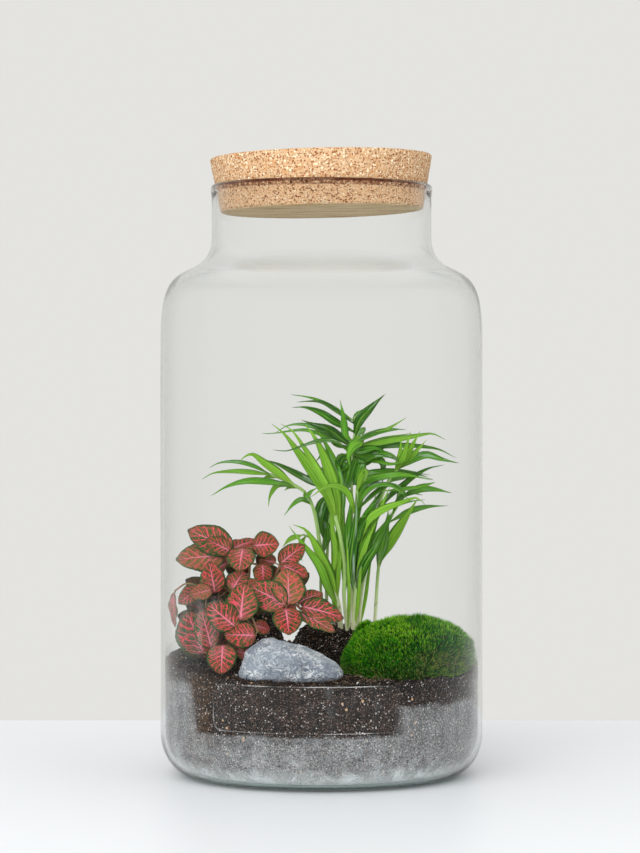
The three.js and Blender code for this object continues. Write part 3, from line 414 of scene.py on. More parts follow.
@dataclass(frozen=True)
class CorkFinish:
    """Pressed cork: pale and ruddy granules with dark crumbs of bark between them."""

    pale: Color = (0.61, 0.42, 0.25)
    ruddy: Color = (0.52, 0.26, 0.105)
    bark: Color = (0.24, 0.060, 0.015)
    cream: Color = (0.90, 0.74, 0.52)
    under: Color = (1.0, 0.80, 0.50)
    under_grain: Color = (0.56, 0.33, 0.13)
    painted_neck_light: Color = (0.98, 0.63, 0.37)
    painted_neck_light_below: tuple[float, float] = (0.3292, 0.3276)
    granules: float = 620

    def make(self) -> Material:
        """Makes the material.

        Returns:
            The material.
        """
        g = Graph("cork")
        spot = g.place()
        drift = g.node("TexNoise", None, {"Vector": spot, "Scale": 260.0, "Detail": 2.0}).outputs[1]
        inputs = {0: drift, 1: Vector((0.0022, 0.0022, 0.0022)), 2: spot}
        warped = g.node("VectorMath", {"operation": "MULTIPLY_ADD"}, inputs).outputs[0]
        edge = g.seams(warped, self.granules)
        _, grain = g.cells(warped, self.granules)
        fine = g.grain(spot, 1500, 3, 0.6)
        broad = g.grain(spot, 60, 2)
        color = g.mix(self.pale, self.ruddy, (grain - 0.45) * 1.3 + (broad - 0.5) * 0.6 + (fine - 0.5) * 0.8)
        # Painted light: the part of the cork inside the glass neck is painted paler
        neck = g.axes(spot)[2].step(*self.painted_neck_light_below)
        color = g.mix(color, self.painted_neck_light, neck * 0.62)
        far, light = g.cells(spot, 760)
        color = g.mix(color, self.cream, light.step(0.26, 0.16) * far.step(0.62, 0.40) * 0.9)
        near, pick = g.cells(warped, 980)
        crumbs = pick.step(0.80, 0.86) * near.step(0.60, 0.42)
        crumbs = crumbs.most(g.grain(spot, 1150, 3, 0.7).step(0.57, 0.61))
        color = g.mix(color, self.bark, crumbs * (0.65 + fine * 0.8))
        cut = g.grain(g.place((0.05, 0.22, 1)), 520, 4, 0.65)
        color = g.mix(color, g.mix(self.under, self.under_grain, (cut - 0.44) * 3.2), g.mark("cut") * 0.85)
        color = g.mix(color, self.ruddy, edge.step(0.07, 0.0) * 0.6)
        height = edge.step(0.0, 0.18) * 0.4 + fine * 0.35 - crumbs * 0.5
        return g.solid(color, 0.82, g.bump(height, 0.0004), 0.25)


@dataclass(frozen=True)
class FilmFinish:
    """Bare clear film, seen by its edges."""

    color: Color = (0.9, 0.91, 0.9)

    def make(self) -> Material:
        """Makes the material.

        Returns:
            The material.
        """
        g = Graph("clear_film")
        rim = g.mark("from_edge").step(0.62, 0.25)
        haze = g.grain(g.place((1, 1, 0.6)), 130, 3)
        worn = g.grain(g.place(), 34, 2).step(0.44, 0.64)
        alpha = 0.004 + rim * (0.025 + worn * 0.20) + haze.step(0.55, 0.8) * 0.02
        rough = 0.16 + haze * 0.1
        return g.finish(g.principled(Base_Color=self.color, Roughness=rough, IOR=1.45, Alpha=alpha))


@dataclass(frozen=True)
class MistFinish:
    """Fine drops on the inside of the glass, in upright runs."""

    color: Color = (0.86, 0.87, 0.88)
    thick: float = 0.09

    def make(self) -> Material:
        """Makes the material.

        Returns:
            The material.
        """
        g = Graph("mist")
        spot = g.place()
        runs = g.grain(g.place((1, 1, 0.05)), 230, 3, 0.65).step(0.46, 0.70)
        drops = g.grain(spot, 1100, 2, 0.6).step(0.40, 0.62)
        cloud = g.grain(spot, 60, 3).step(0.38, 0.62)
        inner = g.mark("from_edge").step(0.0, 0.22)
        alpha = inner * (runs * 0.8 + cloud * 0.35) * (0.35 + drops * 0.65) * self.thick
        return g.finish(g.principled(Base_Color=self.color, Roughness=0.6, Alpha=alpha))


@dataclass(frozen=True)
class SoilFinish:
    """Damp peat with light grains, behind the mist that lies on the inside of the glass."""

    dark: Color = (0.005, 0.004, 0.003)
    brown: Color = (0.042, 0.022, 0.015)
    tan: Color = (0.52, 0.34, 0.26)
    grit: Color = (0.80, 0.75, 0.72)
    chip: Color = (0.70, 0.46, 0.26)
    rust: Color = (0.15, 0.070, 0.018)
    mist: Color = (0.53, 0.55, 0.57)
    cloud: Color = (0.88, 0.93, 0.94)

    def make(self) -> Material:
        """Makes the material.

        Returns:
            The material.
        """
        g = Graph("potting_soil")
        spot = g.place()
        x, y, z = g.axes(spot)
        clods = g.grain(spot, 170, 4, 0.6)
        fine = g.grain(spot, 1300, 3, 0.6)
        # Mist: only on the wall, thinner behind the film and where drops have run
        wall = g.mark("wall")
        turn = g.math("ARCTAN2", x, -y) * (180 / math.pi)
        across = turn + (g.grain(spot, 30, 3) - 0.5) * 14
        height = z * 1000.0 + (g.grain(spot, 45, 3) - 0.5) * 8
        clear = across.step(-53, -48) * across.step(32, 24) * height.step(29, 32)
        clear = clear.most(across.step(4, 12) * height.step(44, 48) * across.step(74, 62))
        clear = clear.most(height.step(53, 58) * 0.85) * 0.94
        rust = g.mix(self.brown, self.rust, wall * across.step(-58, -52) * across.step(-38, -44) * 0.8)
        far, pick = g.cells(spot, 1500)
        # Painted shade on the wall just under the moss
        painted_shade_under_moss = across.step(6, 16) * across.step(82, 70) * height.step(51, 57)
        lit = ((clods - 0.47) * 1.8 + pick.step(0.2, 0.9) * 0.6) * (1.0 - painted_shade_under_moss * 0.8)
        color = g.mix(self.dark, rust, lit)
        bits = pick.step(0.72, 0.86) * far.step(0.60, 0.40)
        color = g.mix(color, self.tan, bits * (0.02 + fine * 0.82))
        far2, pick2 = g.cells(spot, 1150)
        grit = pick2.step(0.91, 0.93) * far2.step(0.50, 0.34)
        color = g.mix(color, self.grit, grit * (0.4 + fine))
        far3, pick3 = g.cells(spot, 460)
        color = g.mix(color, self.chip, pick3.step(0.982, 0.988) * far3.step(0.40, 0.28))
        streaks = g.grain(g.place((1, 1, 0.07)), 260, 3, 0.6)
        cloud = g.grain(spot, 85, 4, 0.6)
        # Whiter toward the bottom: patches of mist, and painted light brightening the heel near the foot
        low = height.step(30, 12)
        mist = wall * (1.0 - clear) * (0.60 + (streaks - 0.5) * 0.6 + (cloud - 0.5) * 1.0 + low * 0.07)
        blotch = g.grain(g.place((1, 1, 0.8)), 95, 5, 0.65, 0.5)
        foot = height.step(15, 5) * (0.8 + blotch.step(0.40, 0.60) * 0.6)
        mist_and_painted_light = wall * (low * blotch.step(0.48, 0.62) * 0.34 + foot)
        # Drops of mist let the dark soil through between them
        drops = g.grain(spot, 1250, 3, 0.7)
        color = g.mix(color, self.mist, mist * (0.66 + (drops - 0.5) * 3.4))
        color = g.mix(color, self.cloud, mist_and_painted_light * (0.50 + (drops - 0.35) * 2.0))
        color = g.mix(color, self.grit, grit.most(bits * 0.7) * mist * 0.8)
        relief = clods * 0.7 + fine * 0.5 + bits * 0.4
        return g.solid(color, 0.86 - fine * 0.25, g.bump(relief, 0.0011), 0.12)


@dataclass(frozen=True)
class CrumbFinish:
    """Loose crumbs of peat and bark and grains of perlite."""

    peat: Color = (0.022, 0.016, 0.012)
    bark: Color = (0.17, 0.095, 0.05)
    perlite: Color = (0.78, 0.76, 0.72)

    def make(self) -> Material:
        """Makes the material.

        Returns:
            The material.
        """
        g = Graph("soil_crumbs")
        kind = g.mark("tone")
        fine = g.grain(g.place(), 1500, 3)
        color = g.mix(self.peat, self.bark, kind.step(0.80, 0.9) * 0.9 + (fine - 0.55) * 0.4)
        color = g.mix(color, self.perlite, kind.step(0.955, 0.965))
        return g.solid(color, 0.9, g.bump(fine, 0.0004))


@dataclass(frozen=True)
class StoneFinish:
    """Dry blue-grey pebble with pale veins and patches."""

    body: Color = (0.290, 0.340, 0.410)
    shade: Color = (0.10, 0.12, 0.16)
    pale: Color = (0.90, 0.92, 0.95)

    def make(self) -> Material:
        """Makes the material.

        Returns:
            The material.
        """
        g = Graph("stone")
        spot = g.place()
        broad = g.grain(spot, 55, 4, 0.55, 0.4)
        fine = g.grain(spot, 700, 4, 0.65)
        color = g.mix(self.body, self.shade, (broad - 0.44) * 3.0 + (fine - 0.5) * 0.8)
        hair = abs(g.grain(g.place((1, 1, 1.8)), 110, 4, 0.6, 1.0) - 0.52).step(0.022, 0.002)
        zone = g.grain(g.place((1, 1, 1.5)), 85, 4, 0.65, 0.5).step(0.40, 0.58)
        fleck = g.grain(spot, 420, 4, 0.78, 1.4).step(0.45, 0.57)
        white = (fleck * (0.16 + zone * 0.84)).most(hair * fleck * 0.8)
        color = g.mix(color, self.pale, white * (0.66 + fine * 0.6))
        pits = g.grain(spot, 520, 2, 0.5).step(0.36, 0.28)
        color = g.mix(color, self.shade, pits * 0.8)
        relief = broad * 0.6 + fine * 0.35 + white * 0.25 - pits * 0.4
        return g.solid(color, 0.66 + white * 0.15, g.bump(relief, 0.0007), 0.4)


@dataclass(frozen=True)
class MossFinish:
    """Living moss: short upright shoots, dark at their foot as painted shade, and yellow-green at the tip."""

    foot: Color = (0.002, 0.012, 0.000)
    green: Color = (0.016, 0.31, 0.002)
    lime: Color = (0.44, 0.92, 0.03)
    dry: Color = (0.33, 0.25, 0.08)
    glow: Color = (0.10, 0.34, 0.01)

    def make(self) -> Material:
        """Makes the material.

        Returns:
            The material.
        """
        g = Graph("moss")
        tip = g.mark("tip")
        tone = g.mark("tone")
        spot = g.place()
        patch = g.grain(spot, 52, 3, 0.6)
        clump = g.grain(spot, 420, 2, 0.6)
        body = 0.26 + tone.step(0.1, 0.5) * 0.65 + (clump - 0.45) * 1.6 + (patch - 0.5) * 1.2
        # Painted shade: near black at the shoots' feet and on the cushion's body
        color = g.mix(self.foot, self.green, tip.step(0.1, 0.8) * body)
        # Lime tips, and lighter higher up on the cushion as painted light
        high = g.axes(spot)[2].step(0.070, 0.094)
        light = tone.step(0.45, 1.0) * 1.2 + (patch - 0.5) * 3.6 + (clump - 0.5) * 1.8 + high * 0.45 - 0.15
        color = g.mix(color, self.lime, tip.step(0.3, 1.0) * light)
        dry = tone.step(0.95, 0.97).most(g.mark("dry").step(0.3, 0.9) * tone.step(0.45, 0.7))
        color = g.mix(color, self.dry, dry * tip)
        normal = g.bump(g.grain(spot, 2200, 2), 0.0002)
        leaf = g.principled(Base_Color=color, Roughness=0.6, Specular_IOR_Level=0.06, Normal=normal)
        glow = g.node("BsdfTranslucent", None, {0: self.glow}).outputs[0]
        return g.finish(g.blend(leaf, glow, 0.18))


@dataclass(frozen=True)
class PalmFinish:
    """Satin palm leaf with veins along it, from lime to deep green, on pale stems."""

    deep: Color = (0.010, 0.085, 0.006)
    bright: Color = (0.115, 0.44, 0.022)
    lime: Color = (0.44, 0.76, 0.08)
    stem: Color = (0.38, 0.60, 0.18)
    stem_foot: Color = (0.84, 0.86, 0.54)
    stem_speck: Color = (0.26, 0.13, 0.05)
    painted_sheen: Color = (0.52, 0.70, 0.52)
    dry_tip: Color = (0.42, 0.33, 0.10)
    glow: Color = (0.36, 0.60, 0.05)

    def make(self) -> Material:
        """Makes the material.

        Returns:
            The material.
        """
        g = Graph("palm_leaf")
        u, v, _ = g.axes(g.node("UVMap", {"uv_map": "along"}).outputs[0])
        tone = g.mark("tone")
        stalk = g.mark("stalk")
        under = g.mark("under")
        drift = g.grain(g.join(u * 2.0, v * 3.0, tone * 40.0), 1.0, 3)
        lines = g.grain(g.join(u * 1.1, v * 13.0, tone * 60.0), 1.0, 3, 0.75)
        hair = ((v * 150.0 + drift * 4.0).sin() * 0.5 + 0.5) * 0.35
        stripes = (v * 21.0 + drift * 4.0 + tone * 9.0).sin() * (0.4 + lines)
        ribs = abs(v - 0.5)
        streaks = (lines - 0.5) * 1.6
        green = tone * 1.45 + (drift - 0.5) * 1.1 + streaks + stripes * 0.30 - 0.05
        color = g.mix(self.deep, self.bright, green)
        light = tone.step(0.5, 1.0) * 0.62 + u.step(0.4, 0.0) * 0.4 * tone + streaks + stripes * 0.26 - 0.04
        color = g.mix(color, self.lime, light * (0.8 + hair))
        color = g.mix(color, self.lime, ribs.step(0.035, 0.008) * 0.45)
        color = g.mix(color, self.deep, ribs.step(0.44, 0.5) * 0.25)
        color = g.mix(color, self.lime, under * 0.22)
        # Painted sheen: pale streaks on the darker blades
        sheen = g.grain(g.join(u * 3.0, v * 2.5, tone * 90.0), 1.0, 2).step(0.56, 0.70) * tone.step(0.95, 0.4)
        color = g.mix(color, self.painted_sheen, sheen * 0.75)
        color = g.mix(color, self.dry_tip, u.step(0.965, 1.0) * 0.65)
        pale = g.mix(self.stem, self.stem_foot, u.step(0.48, 0.05) + (lines - 0.5) * 0.8)
        specks = g.grain(g.place((1, 1, 0.4)), 260, 2).step(0.66, 0.74)
        pale = g.mix(pale, self.stem_speck, specks * 0.6)
        color = g.mix(color, pale, stalk)
        leaf = g.principled(
            Base_Color=color,
            Roughness=0.30 + lines * 0.16,
            Specular_IOR_Level=0.55,
            Normal=g.bump(lines * 0.5 + hair * 0.5, 0.0003),
        )
        glow = g.node("BsdfTranslucent", None, {0: self.glow}).outputs[0]
        return g.finish(g.blend(leaf, glow, 0.26 - stalk * 0.2))


@dataclass(frozen=True)
class FittoniaFinish:
    """Nerve plant leaf: a net of coral and pink veins over dark green, with a plain green margin."""

    ground: Color = (0.004, 0.045, 0.010)
    olive: Color = (0.075, 0.22, 0.045)
    coral: Color = (1.0, 0.080, 0.105)
    pink: Color = (1.0, 0.19, 0.33)
    hot: Color = (1.0, 0.40, 0.46)
    old: Color = (0.52, 0.22, 0.07)
    margin: Color = (0.045, 0.12, 0.035)
    back: Color = (0.52, 0.21, 0.09)
    shade: Color = (0.015, 0.045, 0.015)
    stalk_foot: Color = (0.20, 0.30, 0.10)
    stalk_top: Color = (0.55, 0.22, 0.14)
    glow: Color = (0.62, 0.22, 0.08)
    side_veins: float = 6.5

    def make(self) -> Material:
        """Makes the material.

        Returns:
            The material.
        """
        g = Graph("fittonia_leaf")
        u, v, _ = g.axes(g.node("UVMap", {"uv_map": "along"}).outputs[0])
        tone = g.mark("tone")
        stalk = g.mark("stalk")
        under = g.mark("under")
        side = v * 2.0 - 1.0
        out = abs(side)
        wander = g.grain(g.join(u * 5.0, v * 4.0, tone * 50.0), 1.0, 2) - 0.5
        half = g.math("GREATER_THAN", side, 0.0)
        row = (u - out**0.85 * 0.30) * self.side_veins + half * 0.37 + wander * 0.75
        from_vein = abs(row.fract() - 0.5)
        ribs = (from_vein + out * 0.06).step(0.145, 0.08)
        mid = (out * (1.0 + u * 2.4)).step(0.15, 0.06)
        net_spot = g.join(row * 1.9 + half * 7.3, out * 3.1 + wander, tone * 30.0)
        net = g.seams(net_spot, 1.0).step(0.075, 0.03)
        veins = mid.most(ribs).most(net * 0.85)
        veins = veins * out.step(1.0, 0.86) * (0.8 + (1.0 - u.step(0.9, 1.0)) * 0.2)
        glow_in = (1.0 - out.step(0.0, 0.75)) * u.step(0.75, 0.1)
        red = g.mix(self.coral, self.pink, mid * 0.8 + glow_in * 0.6 + tone * 0.35 - 0.1)
        cell = g.mix(self.ground, self.olive, wander + 0.1 + tone * 0.3)
        color = g.mix(cell, red, veins)
        color = g.mix(color, red, glow_in * 0.10)
        color = g.mix(color, self.hot, mid.step(0.5, 1.0) * (0.25 + tone * 0.4) + ribs * glow_in * 0.3)
        color = g.mix(color, self.old, tone.step(0.93, 0.97) * 0.22)
        color = g.mix(color, self.margin, out.step(0.82, 0.91).most(u.step(0.94, 0.98)) * 0.92)
        back = g.mix(self.back, self.pink, mid.most(ribs * 0.6) * 0.5)
        back = g.mix(back, self.margin, out.step(0.8, 0.96) * 0.7)
        color = g.mix(color, back, under * 0.85)
        color = g.mix(color, self.shade, tone.step(-0.2, -0.8) * 0.72)
        color = g.mix(color, g.mix(self.stalk_foot, self.stalk_top, u), stalk)
        relief = 1.0 - mid * 0.9 - ribs * 0.6 - net * 0.3
        leaf = g.principled(
            Base_Color=color,
            Roughness=0.45 + veins * 0.1,
            Specular_IOR_Level=0.25,
            Normal=g.bump(relief, 0.0005, 0.8),
        )
        glow = g.node("BsdfTranslucent", None, {0: self.glow}).outputs[0]
        return g.finish(g.blend(leaf, glow, 0.08))


@dataclass(frozen=True)
class RootFinish:
    """Dry tan rootlets and bits of straw."""

    color: Color = (0.36, 0.25, 0.14)
    dark: Color = (0.10, 0.055, 0.03)

    def make(self) -> Material:
        """Makes the material.

        Returns:
            The material.
        """
        g = Graph("rootlets")
        tone = g.mark("tone")
        fine = g.grain(g.place(), 900, 3)
        color = g.mix(self.color, self.dark, tone * 0.8 + (fine - 0.5))
        return g.solid(color, 0.8, g.bump(fine, 0.0002))


@dataclass(frozen=True)
class TableFinish:
    """White table top with a faint sheen."""

    color: Color = (0.72, 0.74, 0.76)
    worn: Color = (0.69, 0.71, 0.73)

    def make(self) -> Material:
        """Makes the material.

        Returns:
            The material.
        """
        g = Graph("table_top")
        fine = g.grain(g.place(), 60, 4)
        color = g.mix(self.color, self.worn, (fine - 0.4) * 0.6)
        return g.solid(color, 0.42, g.bump(fine, 0.0003, 0.3), 0.35)


# Meshes
def deselect() -> None:
    """Leaves object mode with nothing selected."""
    if bpy.context.object and bpy.context.object.mode != "OBJECT":
        bpy.ops.object.mode_set(mode="OBJECT")
    bpy.ops.object.select_all(action="DESELECT")


def named(name: str) -> Piece:
    """Names the active object and its mesh.

    Args:
        name: The piece's name.

    Returns:
        The object.
    """
    piece = bpy.context.object
    piece.name = name
    piece.data.name = name
    return piece


def spun(name: str, outline: list[Spot], steps: int) -> Piece:
    """A body turned about the upright axis: a point is drawn out along the outline, which is then spun round.

    Args:
        name: The piece's name.
        outline: Radii and heights in millimetres, from axis to axis or closed.
        steps: How many flats it has round.

    Returns:
        The object.
    """
    deselect()
    bpy.ops.mesh.primitive_plane_add(size=0.001)
    piece = named(name)
    bpy.ops.object.mode_set(mode="EDIT")
    bpy.ops.mesh.merge(type="CENTER")
    start = Vector((outline[0][0], 0, outline[0][1])) * MM
    bpy.ops.transform.translate(value=start)
    for (r0, z0), (r1, z1) in zip(outline, outline[1:]):
        bpy.ops.mesh.extrude_region_move(
            TRANSFORM_OT_translate={"value": ((r1 - r0) * MM, 0, (z1 - z0) * MM)}
        )
    bpy.ops.mesh.select_all(action="SELECT")
    bpy.ops.mesh.spin(steps=steps, angle=2 * math.pi, center=(0, 0, 0), axis=(0, 0, 1))
    bpy.ops.mesh.select_all(action="SELECT")
    bpy.ops.mesh.remove_doubles(threshold=2e-6)
    bpy.ops.mesh.normals_make_consistent(inside=False)
    bpy.ops.object.mode_set(mode="OBJECT")
    bpy.ops.object.shade_smooth()
    return piece


def points_of(piece: Piece) -> Array:
    """The mesh's points.

    Args:
        piece: The piece.

    Returns:
        Their places, one a row.
    """
    places = np.empty(len(piece.data.vertices) * 3)
    piece.data.vertices.foreach_get("co", places)
    return places.reshape(-1, 3)


def move_points(piece: Piece, places: Array) -> None:
    """Puts the mesh's points at new places, in metres."""
    piece.data.vertices.foreach_set("co", places.ravel())
    piece.data.update()


def mark_points(piece: Piece, **marks: Array | float) -> None:
    """Gives the mesh's points numbers that its finish reads.

    Args:
        piece: The piece.
        marks: A number a point, or one for all of them.
    """
    for name, value in marks.items():
        mark = piece.data.attributes.new(name, "FLOAT", "POINT")
        mark.data.foreach_set("value", np.full(len(piece.data.vertices), value, np.float32))


def ball(name: str, subdivisions: int) -> Piece:
    """Adds a ball of radius 1 in metres, made of triangles.

    Args:
        name: The piece's name.
        subdivisions: How finely it is divided.

    Returns:
        The object.
    """
    deselect()
    bpy.ops.mesh.primitive_ico_sphere_add(subdivisions=subdivisions, radius=1)
    return named(name)


def flat_grid(name: str, across: int, up: int, size: float) -> Piece:
    """Adds a flat grid about the origin.

    Args:
        name: The piece's name.
        across: How many parts it has across.
        up: How many it has up.
        size: Its side in metres.

    Returns:
        The object.
    """
    deselect()
    bpy.ops.mesh.primitive_grid_add(x_subdivisions=across, y_subdivisions=up, size=size)
    return named(name)


def bezier(points: list[Spot], steps: int) -> list[Spot]:
    """Points of a cubic curve in an outline.

    Args:
        points: Its two ends with the two handles between them.
        steps: How many steps it is cut into.

    Returns:
        The points, with both ends.
    """
    a, b, c, d = (np.array(p) for p in points)
    found = []
    for i in range(steps + 1):
        t = i / steps
        found.append(tuple(a * (1 - t) ** 3 + 3 * b * t * (1 - t) ** 2 + 3 * c * t * t * (1 - t) + d * t**3))
    return found


def heel(low: float, high: float, steps: int) -> list[Spot]:
    """The jar's rounded heel, or a line within it.

    Args:
        low: How deep the line lies inside the glass's outside at the foot.
        high: How deep it lies at the side.
        steps: How many steps it is cut into.

    Returns:
        The points, from the foot up to the side.
    """
    width = BODY_RADIUS - FOOT_RADIUS
    found = []
    for i in range(steps + 1):
        turn = i / steps * math.pi / 2
        inward = unit(np.array([-HEEL_HEIGHT * math.sin(turn), width * math.cos(turn)]))
        outside = np.array([FOOT_RADIUS + width * math.sin(turn), HEEL_HEIGHT * (1 - math.cos(turn))])
        found.append(tuple(outside + inward * (low + (high - low) * i / steps)))
    return found


@dataclass
class Skin:
    """Points, faces and marks gathered for one mesh."""

    points: list[Array] = field(default_factory=list)
    uvs: list[Array] = field(default_factory=list)
    faces: list[list[int]] = field(default_factory=list)
    marks: dict[str, list[Array]] = field(default_factory=dict)
    count: int = 0

    def add(
        self, points: Array, faces: Array | list, uvs: Array | None = None, **marks: object
    ) -> None:
        """Adds points and the faces on them.

        Args:
            points: Places in millimetres, one a row.
            faces: Corner numbers of each face, counted from the first of these points.
            uvs: Two numbers a point.
            marks: A number a face, or one for all of them.
        """
        faces = faces.tolist() if isinstance(faces, np.ndarray) else faces
        self.faces += [[corner + self.count for corner in face] for face in faces]
        self.points.append(points)
        self.uvs.append(np.zeros((len(points), 2)) if uvs is None else uvs)
        for key, value in marks.items():
            self.marks.setdefault(key, []).append(np.broadcast_to(value, len(faces)))
        self.count += len(points)

    def build(self, name: str, material: Material) -> Piece:
        """Makes the mesh's object.

        Args:
            name: The piece's name.
            material: Its finish.

        Returns:
            The object, at the origin.
        """
        mesh = bpy.data.meshes.new(name)
        mesh.from_pydata((np.concatenate(self.points) * MM).tolist(), [], self.faces)
        layer = mesh.uv_layers.new(name="along")
        corners = np.empty(len(mesh.loops), int)
        mesh.loops.foreach_get("vertex_index", corners)
        layer.data.foreach_set("uv", np.concatenate(self.uvs)[corners].ravel())
        for key, values in self.marks.items():
            mark = mesh.attributes.new(key, "FLOAT", "FACE")
            mark.data.foreach_set("value", np.concatenate(values).astype(np.float32))
        mesh.shade_smooth()
        mesh.materials.append(material)
        piece = bpy.data.objects.new(name, mesh)
        bpy.context.scene.collection.objects.link(piece)
        return piece


def dress(piece: Piece, slot: Slot, material: Material | None = None, *nodes: str) -> None:
    """Says what a piece is made of, what it stands for and what it rides on.

    Args:
        piece: The piece.
        slot: The record's slot for its finish. Not used.
        material: Its finish, if it has none yet.
        nodes: The CAD nodes that it replaces.
    """
    if material:
        piece.data.materials.clear()
        piece.data.materials.append(material)
    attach(piece, "root")
    if nodes:
        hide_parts(*nodes)
    log.info("%s: %d faces", piece.name, len(piece.data.polygons))


class Course:
    """A smooth curve through points, read by the share of its length."""

    def __init__(self, points: list[Array]) -> None:
        """Lays a centripetal curve.

        Args:
            points: The places that it passes, in millimetres.
        """
        knots = [2 * points[0] - points[1], *points, 2 * points[-1] - points[-2]]
        rows = []
        for p0, p1, p2, p3 in zip(knots, knots[1:], knots[2:], knots[3:]):
            d0, d1, d2 = (max(np.linalg.norm(b - a) ** 0.5, 1e-4) for a, b in ((p0, p1), (p1, p2), (p2, p3)))
            lead = ((p1 - p0) / d0 - (p2 - p0) / (d0 + d1) + (p2 - p1) / d1) * d1
            trail = ((p2 - p1) / d1 - (p3 - p1) / (d1 + d2) + (p3 - p2) / d2) * d1
            t = np.linspace(0, 1, 40, endpoint=False)[:, None]
            rows.append(
                p1 + lead * t + (-3 * p1 + 3 * p2 - 2 * lead - trail) * t**2
                + (2 * p1 - 2 * p2 + lead + trail) * t**3
            )
        self.line = np.concatenate([*rows, points[-1][None]])
        steps = np.linalg.norm(np.diff(self.line, axis=0), axis=1)
        self.share = np.concatenate([[0], np.cumsum(steps)])
        self.share /= self.share[-1]

    def at(self, share: Array | float) -> Array:
        """Places at shares of the length, one a row."""
        share = np.atleast_1d(share)
        return np.stack([np.interp(share, self.share, self.line[:, i]) for i in range(3)], axis=1)

    def runs(self, share: Array | float) -> Array:
        """Directions at shares of the length, one a row."""
        share = np.atleast_1d(share)
        return unit(self.at(np.minimum(share + 0.01, 1)) - self.at(np.maximum(share - 0.01, 0)))


def lie(run: Array, turn: float, before: Array | None) -> tuple[Array, Array, Array]:
    """How a leaf lies, as in the part's source.

    Args:
        run: The direction that it runs in.
        turn: How far its upper edge leans back, in degrees.
        before: The upright direction at the station before, or None.

    Returns:
        Its upright, sideways and upper-face directions.
    """
    upright = unit(np.cross([0, -1, 0], run))
    if (upright @ before if before is not None else upright[2]) < 0:
        upright = -upright
    back = unit(np.cross(run, upright))
    if back[1] < 0:
        back = -back
    angle = math.radians(turn)
    side = upright * math.cos(angle) + back * math.sin(angle)
    face = upright * math.sin(angle) - back * math.cos(angle)
    return upright, side, face


def lens_faces(stations: int, columns: int) -> tuple[Array, Array, Array]:
    """Faces of a thin leaf whose upper and lower sheets share their outline.

    Args:
        stations: Rows of points along it.
        columns: Points in a row.

    Returns:
        The faces of both sheets, which of them lie under, and the numbers of the points that the lower sheet
        has of its own, in the upper sheet.
    """
    grid = np.arange(stations * columns).reshape(stations, columns)
    low = grid.copy()
    own = grid[1:-1, 1:-1]
    low[1:-1, 1:-1] = stations * columns + np.arange(own.size).reshape(own.shape)
    faces = []
    for sheet, ring in ((grid, (0, 1, 2, 3)), (low, (3, 2, 1, 0))):
        corners = np.stack([sheet[:-1, :-1], sheet[1:, :-1], sheet[1:, 1:], sheet[:-1, 1:]], axis=-1)
        faces.append(corners.reshape(-1, 4)[:, ring])
    under = np.repeat([0.0, 1.0], len(faces[0]))
    return np.concatenate(faces), under, own.ravel()


